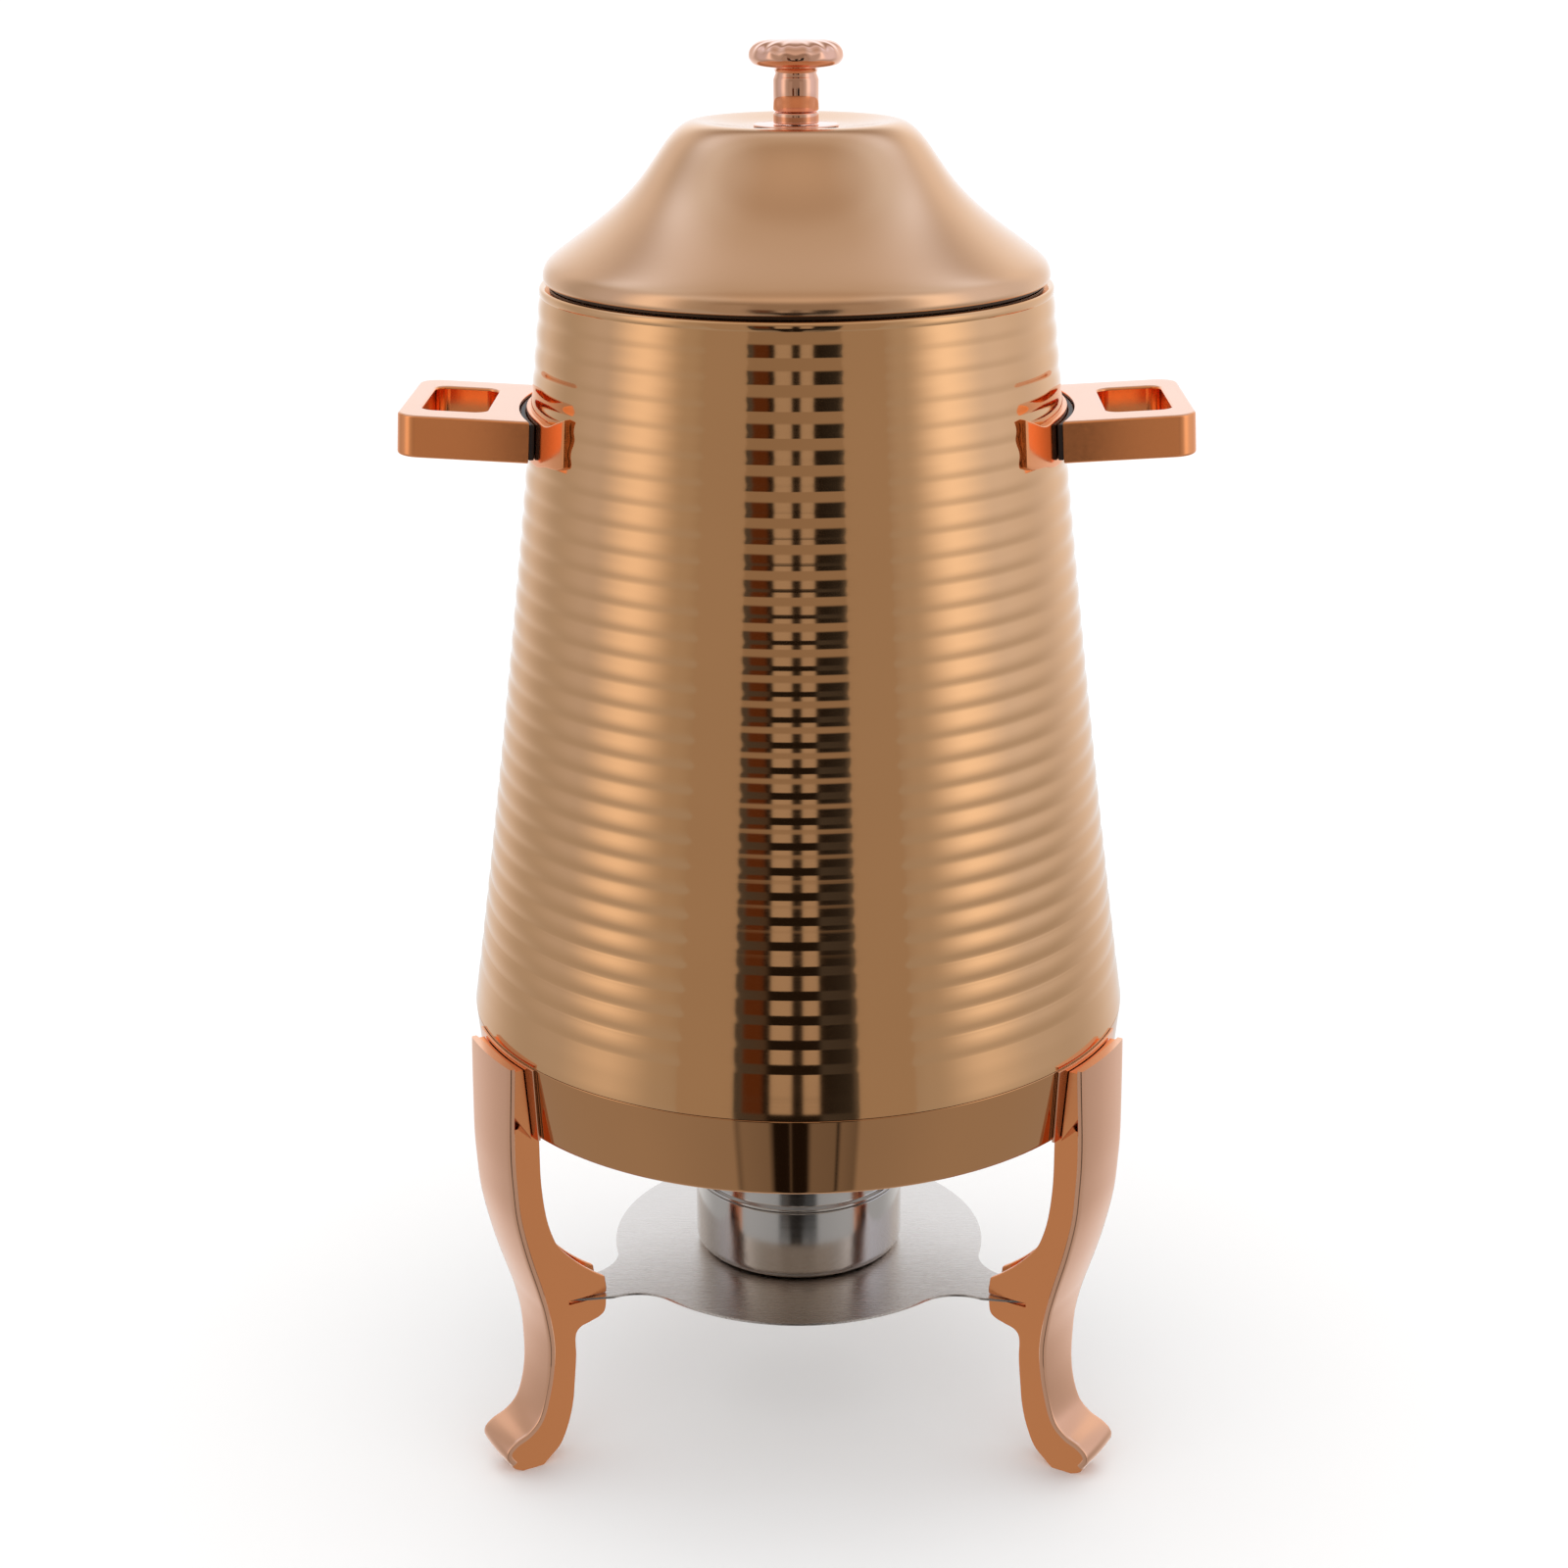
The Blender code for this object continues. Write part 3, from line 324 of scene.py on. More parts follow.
BRONZE = (0.80, 0.455, 0.225)
COPPER = (0.90, 0.49, 0.31)
# A darker, redder copy of the casting copper for side faces: painted shade.
SHADED_COPPER = (0.96, 0.37, 0.145)
STEEL = (0.62, 0.60, 0.585)
bronze = metal("bronze_jacket", BRONZE, (0.05, 0.10), spun_grain(900, 0.02))
# The band's bronze is a darker copy of the jacket's: painted shade.
shaded_band_bronze = metal("bronze_band", (0.63, 0.315, 0.14), (0.03, 0.07), spun_grain(900, 0.01))
lid_bronze = metal("bronze_lid", (0.82, 0.49, 0.285), (0.12, 0.20), spun_grain(1200, 0.03))
copper = metal("copper_casting", COPPER, (0.12, 0.20), cast_grain(420, 0.05))
# Painted shade: the castings' side faces get this darker copy of the copper.
shaded_side_copper = metal("copper_painted_side_shade", SHADED_COPPER, (0.12, 0.20), cast_grain(420, 0.05))
knob_copper = metal("copper_knob", (0.92, 0.52, 0.37), (0.04, 0.09), spun_grain(900, 0.01))
satin_steel = metal("satin_steel", (0.70, 0.675, 0.66), (0.24, 0.34), spun_grain(1400, 0.06))
plate_steel = metal("plate_steel", (0.72, 0.655, 0.61), (0.20, 0.34), brushed_grain((40, 2600, 2600), 0.25))
bright_steel = metal("bright_steel", (0.66, 0.62, 0.585), (0.10, 0.20), spun_grain(1400, 0.04))
# Near-black for the outer edge of the pot's flange: painted shade, standing in for the dark gap under the
# lid's rim.
painted_shade_edge = metal("flange_painted_shade", (0.07, 0.045, 0.03), (0.30, 0.45), cast_grain(900, 0.05))
screw_steel = metal("screw_steel", STEEL, (0.18, 0.30), cast_grain(900, 0.05))
black_rubber = metal("black_gasket", (0.012, 0.011, 0.011), (0.35, 0.60), cast_grain(1500, 0.30),
                     metallic=0.0)


# ---------------------------------------------------------------- the kettle's body
BODY_HEIGHT = RIM_Z - SEAM_Z
BODY_BOW = 0.0017
RIPPLE_PITCH = 0.0105
RIPPLE_DEPTH = 0.00050
RIPPLE_START = 0.0195        # lowest valley, above the seam
RIPPLE_COUNT = 29
TOP_RADIUS = max(r for r, z in node_profile("kettle_jacket") if z > RIM_Z - 0.0018)
MOUTH_RADIUS = min(r for r, z in node_profile("kettle_jacket") if z > RIM_Z - 0.0001)
JACKET_WALL = 0.0012


def body_radius(z):
    """Outside of the jacket at height z, over the crests of its ripples."""
    share = (z - SEAM_Z) / BODY_HEIGHT
    return SEAM_RADIUS + (TOP_RADIUS - SEAM_RADIUS) * share - BODY_BOW * 4 * share * (1 - share)


def rippled_line():
    """The jacket's outside from seam to rim: round crests, with a narrow valley between each two."""
    steps = (0.0, 0.03, 0.08, 0.16, 0.27, 0.38, 0.5, 0.62, 0.73, 0.84, 0.92, 0.97)
    line = [(SEAM_RADIUS, SEAM_Z), (body_radius(SEAM_Z + 0.0006) + 0.00005, SEAM_Z + 0.0006)]
    line += [(body_radius(SEAM_Z + d), SEAM_Z + d) for d in (0.004, 0.010, 0.0145)]
    for ripple in range(RIPPLE_COUNT):
        strength = min(1.0, 0.6 + 0.10 * ripple)
        for step in steps:
            z = SEAM_Z + RIPPLE_START + (ripple + step) * RIPPLE_PITCH
            valley = (0.5 + 0.5 * cos(tau * step)) ** 1.35
            line.append((body_radius(z) - RIPPLE_DEPTH * strength * valley, z))
    return [p for p in line if p[1] < RIM_Z - 0.0034]


def make_jacket():
    top = rippled_line()
    rim = [(TOP_RADIUS + 0.00025, RIM_Z - 0.0030)]
    rim += arc((TOP_RADIUS - 0.0013, RIM_Z - 0.0015), 0.0015, 0, pi / 2, 6)
    rim += [(MOUTH_RADIUS + 0.0004, RIM_Z), (MOUTH_RADIUS, RIM_Z - 0.0004), (MOUTH_RADIUS, RIM_Z - 0.0015)]
    inner = [(body_radius(z) - JACKET_WALL - 0.0002, z)
             for z in (RIM_Z - 0.0016 - (BODY_HEIGHT - 0.0018) * i / 12 for i in range(13))]
    bm = turned(top + rim + inner, True)
    return link("jacket_shell", bm, bronze, ROOT, ("kettle_jacket",), on_axis())


def make_band():
    """The polished band: crisp at the seam, with a rolled bottom edge."""
    outline = node_profile("base_band")
    bm = turned(soften(outline, True, 0.0011, 6), True)
    # Darker bronze on the band: painted shade.
    return link("polished_band", bm, shaded_band_bronze, ROOT, ("base_band",), on_axis())


# ---------------------------------------------------------------- lid and knob
LID_WALL = 0.0010
SCALLOPS = 16
SCALLOP_IN = 0.016           # share of the radius
SCALLOP_DOWN = 0.0004


def make_lid():
    """The lid's outside is smoothed as one curve, and its wall follows it inwards."""
    outline = node_profile("lid")
    widest = max(range(len(outline)), key=lambda i: outline[i][0])
    stud = min(range(len(outline)), key=lambda i: (round(outline[i][0], 5), -outline[i][1]))
    outer = outline[widest - 1:stud + 1]
    fine = curve_through(outer, 3)
    wall = sideways(fine, LID_WALL)
    low = fine[0][1]
    wall = [p for p in wall if p[1] > low + 0.0016]
    skirt = [p for p in outline if p[1] < low - 0.0001]
    inner_r, outer_r = min(p[0] for p in skirt), max(p[0] for p in skirt)
    bottom = min(p[1] for p in skirt)
    lip = [(wall[0][0] - 0.0004, low + 0.0011), (inner_r, low + 0.0011), (inner_r, bottom + 0.0004),
           (inner_r + 0.0004, bottom), (outer_r - 0.0003, bottom), (outer_r, bottom + 0.0004), (outer_r, low)]
    bm = turned(lip + fine + list(reversed(wall)), True)
    return link("lid_shell", bm, lid_bronze, "lid", ("lid",), on_axis(), angle=50)


def make_knob():
    """A rounded cap with a scalloped border, a hollow under it, and the stem."""
    outline = node_profile("knob")
    low, high = min(z for r, z in outline), max(z for r, z in outline)
    widest = max(r for r, z in outline)
    stem = max(r for r, z in outline if z < low + 0.010)
    neck = high - 0.0114
    shape = [(0.0024, low), (stem - 0.0006, low), (stem, low + 0.0006), (stem, neck - 0.0052),
             (stem - 0.0004, neck - 0.0040), (stem - 0.0010, neck - 0.0026), (stem - 0.0002, neck - 0.0010)]
    cap = [(stem + 0.0020, neck - 0.0002), (widest * 0.74, neck + 0.0002), (widest * 0.90, neck + 0.0012),
           (widest * 0.985, neck + 0.0033), (widest, neck + 0.0052), (widest * 0.975, neck + 0.0072),
           (widest * 0.90, neck + 0.0090), (widest * 0.78, neck + 0.0102), (widest * 0.60, high - 0.0005),
           (widest * 0.30, high - 0.0001), (0.0, high)]
    bm = turned(shape + catmull([shape[-1]] + cap, 4)[1:], False, 160)
    for point in bm.verts:
        radius = hypot(point.co.x, point.co.y)
        height = min(1.0, max(0.0, (point.co.z - neck - 0.0030) / 0.0040))
        edge = max(0.0, min(1.0, (radius / widest - 0.45) / 0.35))
        wave = 0.5 + 0.5 * cos(SCALLOPS * atan2(point.co.y, point.co.x))
        point.co.x *= 1 - SCALLOP_IN * wave * height * edge
        point.co.y *= 1 - SCALLOP_IN * wave * height * edge
        point.co.z -= SCALLOP_DOWN * wave * height * edge
    return link("scalloped_knob", bm, knob_copper, "lid", ("knob",), on_axis(), angle=60)


# ---------------------------------------------------------------- side handles
HANDLE_TILT = radians(3.2)
HANDLE_REACH = 0.0493
HANDLE_WIDTH = 0.086
HANDLE_THICK = 0.0182
HANDLE_CORNER = 0.010
HOLE_WIDTH = 0.055
HOLE_CORNER = 0.006
HOLE_BAR = 0.0090
INNER_BAR = 0.0125
EDGE = 0.0013
GASKET_THICK = 0.0024
GASKET_INSET = 0.0014        # below the handle's top and above its underside
BRACKET_DEPTH = 0.0012
BRACKET_MARGIN = 0.0010
BRACKET_SPREAD = 0.026       # past each side of the handle
BRACKET_SWEEP = 0.0060
HANDLE_Z = RIM_Z - 0.0615
BRACKET_RADIUS = body_radius(HANDLE_Z) + BRACKET_DEPTH
HANDLE_RADIUS = BRACKET_RADIUS + GASKET_THICK + 2 * GAP


def tilted(u, v, w):
    """From the handle's own frame, raised towards its outer end, to the kettle's."""
    out = u - HANDLE_RADIUS
    return (HANDLE_RADIUS + out * cos(HANDLE_TILT) - w * sin(HANDLE_TILT), v,
            HANDLE_Z + out * sin(HANDLE_TILT) + w * cos(HANDLE_TILT))


def handle_outline(inset):
    """Plan of the handle; its inner end follows the gasket."""
    high = HANDLE_RADIUS + HANDLE_REACH - inset
    half = HANDLE_WIDTH / 2 - inset
    corner = HANDLE_CORNER - inset
    inner = HANDLE_RADIUS + inset * 0.3
    angle = asin(half / inner)
    points = arc((high - corner, half - corner), corner, 0, pi / 2, 12)
    points += arc((0, 0), inner, angle, -angle, 25)
    return points + arc((high - corner, corner - half), corner, -pi / 2, 0, 12)


def hole_outline(grow):
    """Plan of the hole, larger by grow where its edges are rounded."""
    low = HANDLE_RADIUS + INNER_BAR + HOLE_CORNER
    high = HANDLE_RADIUS + HANDLE_REACH - HOLE_BAR - HOLE_CORNER
    half = HOLE_WIDTH / 2 - HOLE_CORNER
    points = []
    for u, v, start in ((high, half, 0), (low, half, pi / 2), (low, -half, pi), (high, -half, 1.5 * pi)):
        points += arc((u, v), HOLE_CORNER + grow, start, start + pi / 2, 12)
    return points


def make_handle(side):
    """A loop with rounded edges: up the outside, down the hole and back along the underside."""
    rise = HANDLE_THICK / 2
    turns = [pi / 2 * i / 4 for i in range(5)]
    rings = []
    for outline, up, order in ((handle_outline, 1, turns), (hole_outline, 1, turns[::-1]),
                               (hole_outline, -1, turns), (handle_outline, -1, turns[::-1])):
        rings += [[tilted(u, v, up * (rise - EDGE + EDGE * sin(t))) for u, v in outline(EDGE * (1 - cos(t)))]
                  for t in order]
    bm = skin(bmesh.new(), rings, closed=True)
    bm.normal_update()
    # Painted shade: tops and undersides take the copper, the side faces the darker copy of it.
    for face in bm.faces:
        face.material_index = 0 if abs(face.normal.z) > 0.75 else 1
    handle = link(f"cast_handle_{side}", bm, copper, ROOT, (f"handle_{side}",),
                  on_axis(HANDLE_SIDES[side]), angle=50, flat=True)
    handle.data.materials.append(shaded_side_copper)
    return handle


def make_gasket(side):
    """The curved rubber strip between handle and bracket."""
    half_angle = asin((HANDLE_WIDTH / 2 - 0.0006) / HANDLE_RADIUS)
    rise = HANDLE_THICK / 2 - GASKET_INSET
    plan = arc((0, 0), BRACKET_RADIUS + GAP + GASKET_THICK, -half_angle, half_angle, 32)
    plan += arc((0, 0), BRACKET_RADIUS + GAP, half_angle, -half_angle, 32)
    bm = skin(bmesh.new(), [[tilted(u, v, w) for u, v in plan] for w in (-rise, rise)])
    bevel_edges(bm, 0.0005, 3)
    return link(f"rubber_{side}", bm, black_rubber, ROOT, (f"handle_gasket_{side}",),
                on_axis(HANDLE_SIDES[side]))


def make_bracket(side):
    """The saddle that carries the handle: level behind it, then swept up to thicker ends on the jacket."""
    body = asin(HANDLE_WIDTH / 2 / HANDLE_RADIUS)
    spread = asin((HANDLE_WIDTH / 2 + BRACKET_SPREAD) / body_radius(HANDLE_Z))
    rise = HANDLE_THICK / 2 + BRACKET_MARGIN
    rings = []
    for i in range(57):
        angle = spread * (i / 28 - 1)
        share = max(0.0, (abs(angle) - body) / (spread - body))
        outer = BRACKET_RADIUS + 0.0008 * share
        lift = BRACKET_SWEEP * share ** 2
        waist = 0.0014 * sin(pi * min(1.0, share * 1.15)) ** 2
        ring = []
        for k in range(13):
            w = (rise - waist) * (k / 6 - 1)
            ring.append(tilted(outer * cos(angle), outer * sin(angle), w + lift))
        for k in range(13):
            x, y, z = ring[12 - k]
            radius = body_radius(z) - 0.0006
            ring.append((radius * cos(angle), radius * sin(angle), z))
        rings.append(ring)
    bm = skin(bmesh.new(), rings)
    bevel_edges(bm, 0.0004, 3, 50)
    # The whole saddle takes the darker copy of the copper: painted shade.
    return link(f"cast_bracket_{side}", bm, shaded_side_copper, ROOT, (f"handle_bracket_{side}",),
                on_axis(HANDLE_SIDES[side]), angle=60)


# ---------------------------------------------------------------- legs
SADDLE_RADIUS = SEAM_RADIUS + 0.0030
LEG_INNER = SADDLE_RADIUS + GAP
LEG_TOP = SEAM_Z - 0.0012
LEG_FACE_THICK = 0.0026
LEG_WEB = 0.0150
WEB_WALL = 0.0025
BAND_TAPER = 0.0034          # the band's bottom is this much narrower than the seam
BAND_HEIGHT = 0.036
HOLLOW_FOOT = 0.45           # as a share of the plate's height
HOLLOW_DROP = 0.010          # below the band
# Outlines of a leg: distance outside SEAM_RADIUS, and level, 0 at the floor, 1 at the plate, 2 at
# the seam.
LEG_FACE_LINE = [(0.0075, 1.692), (0.0068, 1.538), (0.0052, 1.408), (0.0008, 1.254), (-0.0050, 1.100),
                 (-0.0080, 1.015), (-0.0104, 0.840), (-0.0104, 0.630), (-0.0084, 0.469), (-0.0050, 0.346),
                 (0.0005, 0.278), (0.0070, 0.241), (0.0110, 0.198), (0.0115, 0.148), (0.0090, 0.099)]
LEG_KNEE_LINE = [(-0.0125, 1.631), (-0.0127, 1.492), (-0.0145, 1.362), (-0.0175, 1.273), (-0.0210, 1.219),
                 (-0.0290, 1.150), (-0.0365, 1.100), (-0.0430, 1.065)]
LEG_SHIN_LINE = [(-0.0437, 1.023), (-0.0430, 0.907), (-0.0405, 0.864), (-0.0350, 0.840), (-0.0300, 0.821),
                 (-0.0275, 0.772), (-0.0274, 0.642), (-0.0262, 0.469), (-0.0252, 0.358), (-0.0228, 0.235),
                 (-0.0185, 0.111), (-0.0130, 0.043), (-0.0090, 0.0)]
LEG_HALF_WIDTHS = [(0.0, 0.0138), (0.45, 0.0132), (0.85, 0.0160), (1.20, 0.0196), (1.69, 0.0203),
                   (2.0, 0.0215)]


def leg_point(point):
    """(radius, height) of an outline point."""
    out, level = point
    height = level * PLATE_Z if level < 1 else PLATE_Z + (level - 1) * (SEAM_Z - PLATE_Z)
    return (SEAM_RADIUS + out, height)


def leg_half_width(z):
    """Half the face's width at height z, eased between the rows of the table."""
    table = [(leg_point((0, level))[1], half) for level, half in LEG_HALF_WIDTHS]
    for (low, a), (high, b) in zip(table, table[1:]):
        if z <= high:
            share = max(0.0, (z - low) / (high - low))
            return a + (b - a) * (3 * share ** 2 - 2 * share ** 3)
    return table[-1][1]


def add_face(bm, line):
    """The broad outer face: a crowned strip with rounded edges, down the leg's S curve."""
    back = sideways(line, -LEG_FACE_THICK)
    rings = []
    for front_point, back_point in zip(line, back):
        half = leg_half_width(front_point[1])
        normal = (Vector(front_point) - Vector(back_point)).normalized()
        section = []
        for i in range(-8, 9):
            side = (half - 0.0007) * i / 8
            section.append((side, (half ** 2 - side ** 2) / (2 * SEAM_RADIUS)))
        section += [(half - 0.0002, -0.0003), (half, -0.0009), (half, -LEG_FACE_THICK + 0.0003),
                    (half - 0.0003, -LEG_FACE_THICK), (0.0003 - half, -LEG_FACE_THICK),
                    (-half, -LEG_FACE_THICK + 0.0003), (-half, -0.0009), (0.0002 - half, -0.0003)]
        u, v = front_point
        rings.append([(u + normal.x * d, side, v + normal.y * d) for side, d in section])
    skin(bm, rings)


def cut(bm, others):
    """Subtracts closed bmeshes from another with Booleans."""
    items = []
    for part in [bm] + others:
        bmesh.ops.recalc_face_normals(part, faces=part.faces)
        mesh = bpy.data.meshes.new("cutting")
        part.to_mesh(mesh)
        part.free()
        item = bpy.data.objects.new("cutting", mesh)
        bpy.context.scene.collection.objects.link(item)
        items.append(item)
    for other in items[1:]:
        modifier = items[0].modifiers.new("cut", "BOOLEAN")
        modifier.operation = "DIFFERENCE"
        modifier.solver = "EXACT"
        modifier.object = other
    bpy.context.view_layer.update()
    mesh = bpy.data.meshes.new_from_object(items[0].evaluated_get(bpy.context.evaluated_depsgraph_get()))
    result = bmesh.new()
    result.from_mesh(mesh)
    for item in items:
        bpy.data.objects.remove(item, do_unlink=True)
    return result


def prism(outline, half):
    """A flat piece with its outline in the plane through the axis."""
    return skin(bmesh.new(), [[(u, w, v) for u, v in outline] for w in (-half, half)])


def make_leg_mesh():
    """One leg, outwards along +X: the web with its hollow and slot, the face, and the head's block."""
    top = (LEG_INNER + 0.0031, LEG_TOP)
    line = catmull([top] + [leg_point(p) for p in LEG_FACE_LINE], 5)
    knee = catmull([leg_point(p) for p in LEG_KNEE_LINE], 5)
    shin = catmull([leg_point(p) for p in LEG_SHIN_LINE], 5)
    toe = catmull([leg_point(p) for p in ((0.0010, 0.0), (0.0055, 0.026), (0.0078, 0.075))], 4)
    back = sideways(line, -LEG_FACE_THICK / 2)
    rise = [p for p in reversed(back) if toe[-1][1] + 0.002 < p[1] < BAND_BOTTOM]
    head = BAND_BOTTOM - 0.001
    outline = [(knee[0][0], head)] + knee + shin + toe + rise + [(LEG_INNER + 0.0040, head)]
    reach = SEAM_RADIUS - 0.054
    low, high = HOLLOW_FOOT * PLATE_Z, BAND_BOTTOM - HOLLOW_DROP
    hollow_back = [p for p in sideways(line, -LEG_FACE_THICK) if low < p[1] < high]
    hollow = prism([(reach, high)] + hollow_back + [(reach, low)], LEG_WEB / 2 - WEB_WALL)
    low, high, end = PLATE_Z - PLATE_THICK - GAP, PLATE_Z + GAP, SEAM_RADIUS - 0.0246
    slot = prism([(reach, low), (end, low), (end, high), (reach, high)], LEG_WEB)
    bm = cut(prism(outline, LEG_WEB / 2), [hollow, slot])
    bmesh.ops.remove_doubles(bm, verts=bm.verts, dist=1e-5)
    bevel_edges(bm, 0.0005, 2, 40)
    # Painted shade: the web takes the darker copy of the copper; the face strip added below keeps the plain
    # copper.
    for face in bm.faces:
        face.material_index = 1
    add_face(bm, line)

    outer = LEG_INNER + 0.0026
    rings = []
    head_top = LEG_TOP - 0.0012
    for z_outer, z_inner in ((BAND_BOTTOM + 0.013, BAND_BOTTOM - 0.001), (head_top, head_top)):
        half = leg_half_width(z_outer) - 0.00005
        back = SEAM_RADIUS - BAND_TAPER * (SEAM_Z - z_inner) / BAND_HEIGHT + 0.0018
        angle = asin(half / back)
        ring = [(outer, half * i / 6, z_outer) for i in range(-6, 7)]
        ring += [(u, v, z_inner) for u, v in arc((0, 0), back, angle, -angle, 12)]
        rings.append(ring)
    block = skin(bmesh.new(), rings)
    bevel_edges(block, 0.0004, 2, 40)
    inner, outer = back + 0.0001, LEG_INNER + 0.0045
    neck = prism([(inner, BAND_BOTTOM - 0.006), (outer, BAND_BOTTOM - 0.006),
                  (outer, BAND_BOTTOM + 0.014), (inner, BAND_BOTTOM + 0.002)], LEG_WEB / 2)
    for part in (block, neck):
        mesh = bpy.data.meshes.new("part_of_leg")
        part.to_mesh(mesh)
        part.free()
        # The head's block and neck take the darker copper too: painted shade.
        for face in mesh.polygons:
            face.material_index = 1
        bm.from_mesh(mesh)
    return bm


def make_saddle_mesh():
    """The thin curved shoe between leg and band, a little wider than the leg."""
    top = LEG_TOP + 0.0008
    rings = []
    for i in range(7):
        share = i / 6
        z = BAND_BOTTOM + 0.0001 + (top - BAND_BOTTOM - 0.0001) * share
        inside = SEAM_RADIUS - BAND_TAPER * (SEAM_Z - z) / BAND_HEIGHT + 0.0001
        wing = radians(9.9 + 0.9 * share)
        plan = [(inside + 0.0014, wing * (k / 8 - 1)) for k in range(17)]
        plan += [(inside, wing * (1 - k / 8)) for k in range(17)]
        rings.append([(r * cos(a), r * sin(a), z) for r, a in plan])
    bm = skin(bmesh.new(), rings)
    return bevel_edges(bm, 0.0003, 2, 40)


def shared_pieces(name, bm, node, *materials):
    """One mesh used at all three legs."""
    first = None
    for place, angle in LEG_ANGLES.items():
        if first is None:
            first = link(f"{name}_{place}", bm, None, ROOT, (f"{node}_{place}",), on_axis(angle),
                         flat=True)
            for material in materials:
                first.data.materials.append(material)
            continue
        piece = bpy.data.objects.new(f"{name}_{place}", first.data)
        bpy.context.scene.collection.objects.link(piece)
        piece.matrix_world = on_axis(angle)
        flatten(piece)
        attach(piece, ROOT)
        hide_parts(f"{node}_{place}")


# ---------------------------------------------------------------- burner plate
def make_plate():
    """A disc with three arms, each blended into the disc and narrowed to a tongue in its leg."""
    radius, arm, fillet, tongue = 0.088, 0.0125, 0.022, 0.0055
    centre_v = arm + fillet
    centre_u = sqrt((radius + fillet) ** 2 - centre_v ** 2)
    meet = atan2(centre_v, centre_u)
    end = SEAM_RADIUS - 0.0254
    half_arm = [(end, tongue * 0.6), (end - 0.0015, tongue), (max(end - 0.0195, centre_u), arm)]
    half_arm += arc((centre_u, centre_v), fillet, -pi / 2, meet - pi, 24)[1:]
    arm_line = [(u, -v) for u, v in reversed(half_arm)] + half_arm
    outline = []
    for angle in sorted(LEG_ANGLES.values()):
        outline += [(u * cos(angle) - v * sin(angle), u * sin(angle) + v * cos(angle))
                    for u, v in arm_line]
        start = angle + meet
        outline += arc((0, 0), radius, start, start + tau / 3 - 2 * meet, 40)[1:-1]
    bm = skin(bmesh.new(), [[(x, y, z) for x, y in outline] for z in (PLATE_Z - PLATE_THICK, PLATE_Z)])
    bevel_edges(bm, 0.00025, 2, 50)
    return link("sheet_plate", bm, plate_steel, ROOT, ("burner_plate",), on_axis(), flat=True)


make_jacket()
make_band()
make_lid()
make_knob()
insert = spun_piece("pot_insert", "soup_pot", satin_steel, "pot", floor_plate=True,
                    widest=MOUTH_RADIUS + 0.0012)
# Painted shade: the flange's outer edge faces get the near-black material, for the shadowed gap between lid
# and jacket rim.
insert.data.materials.append(painted_shade_edge)
for face in insert.data.polygons:
    if hypot(face.center.x, face.center.y) > MOUTH_RADIUS and abs(face.normal.z) < 0.8:
        face.material_index = 1
spun_piece("pan_shell", "water_pan", satin_steel, ROOT, floor_plate=True)
spun_piece("cup_shell", "burner_cup", bright_steel, "burner", floor_plate=True)
spun_piece("cup_cap", "burner_cover", bright_steel, "burner_cap")
spun_piece("stem_foot", "knob_collar", knob_copper, "lid", steps=64)
spun_piece("thin_disc", "knob_washer", knob_copper, "lid", steps=96)
for side in HANDLE_SIDES:
    make_handle(side)
    make_gasket(side)
    make_bracket(side)
# Slot 0 is the plain copper, slot 1 its darker copy: painted shade on the leg's sides.
shared_pieces("cast_leg", make_leg_mesh(), "leg", copper, shaded_side_copper)
shared_pieces("shoe", make_saddle_mesh(), "saddle", copper)
make_plate()

for node in ("snuffer_flap", "flap_pin"):
    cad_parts[node].data.materials.clear()
    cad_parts[node].data.materials.append(bright_steel)
for name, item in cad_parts.items():
    if "screw" in name:
        item.data.materials.clear()
        item.data.materials.append(screw_steel)


# ---------------------------------------------------------------- studio and camera
CAMERA_TURN = radians(1.0)   # the camera stands a little to one side of the kettle's plane of symmetry
CAMERA_RIGHT = -0.00625
CAMERA_BACK = 1.2208
CAMERA_HEIGHT = 0.5062       # above the seam
CAMERA_PITCH = radians(18.46)
CAMERA_ROLL = -0.004
CAMERA_LENS = 64.6
GAP_SPAN = radians(44)       # the dim gap between the side panels
GAP_EDGE = radians(21.8)
CARD_DISTANCE = 0.55
CARD_NEAR = 0.182
CARD_FAR = 0.40
CARD_TOP = 0.75
SHELL_RADIUS = 1.8


def make_camera():
    """Looks a little down on the kettle from the front."""
    camera = bpy.data.cameras.new("camera")
    camera.lens = CAMERA_LENS
    camera.sensor_width = 36
    item = bpy.data.objects.new("camera", camera)
    bpy.context.scene.collection.objects.link(item)
    stand = Matrix.Translation((0, AXIS_Y, SEAM_Z)) @ Matrix.Rotation(CAMERA_TURN, 4, "Z")
    aim = Matrix.Rotation(pi / 2 - CAMERA_PITCH, 4, "X") @ Matrix.Rotation(CAMERA_ROLL, 4, "Z")
    item.matrix_world = stand @ Matrix.Translation((CAMERA_RIGHT, -CAMERA_BACK, CAMERA_HEIGHT)) @ aim
    bpy.context.scene.camera = item


def ramp(nodes, links, factor, stops, interpolation="EASE"):
    """The colour of a ramp from (place, grey or colour) stops, with places from 0 to 1."""
    node = nodes.new("ShaderNodeValToRGB")
    node.color_ramp.interpolation = interpolation
    elements = node.color_ramp.elements
    while len(elements) > 1:
        elements.remove(elements[0])
    for i, (place, value) in enumerate(stops):
        element = elements[0] if i == 0 else elements.new(place)
        element.position = place
        colour = value if isinstance(value, tuple) else (value,) * 3
        element.color = (*colour, 1)
    links.new(factor, node.inputs["Fac"])
    return node.outputs["Color"]


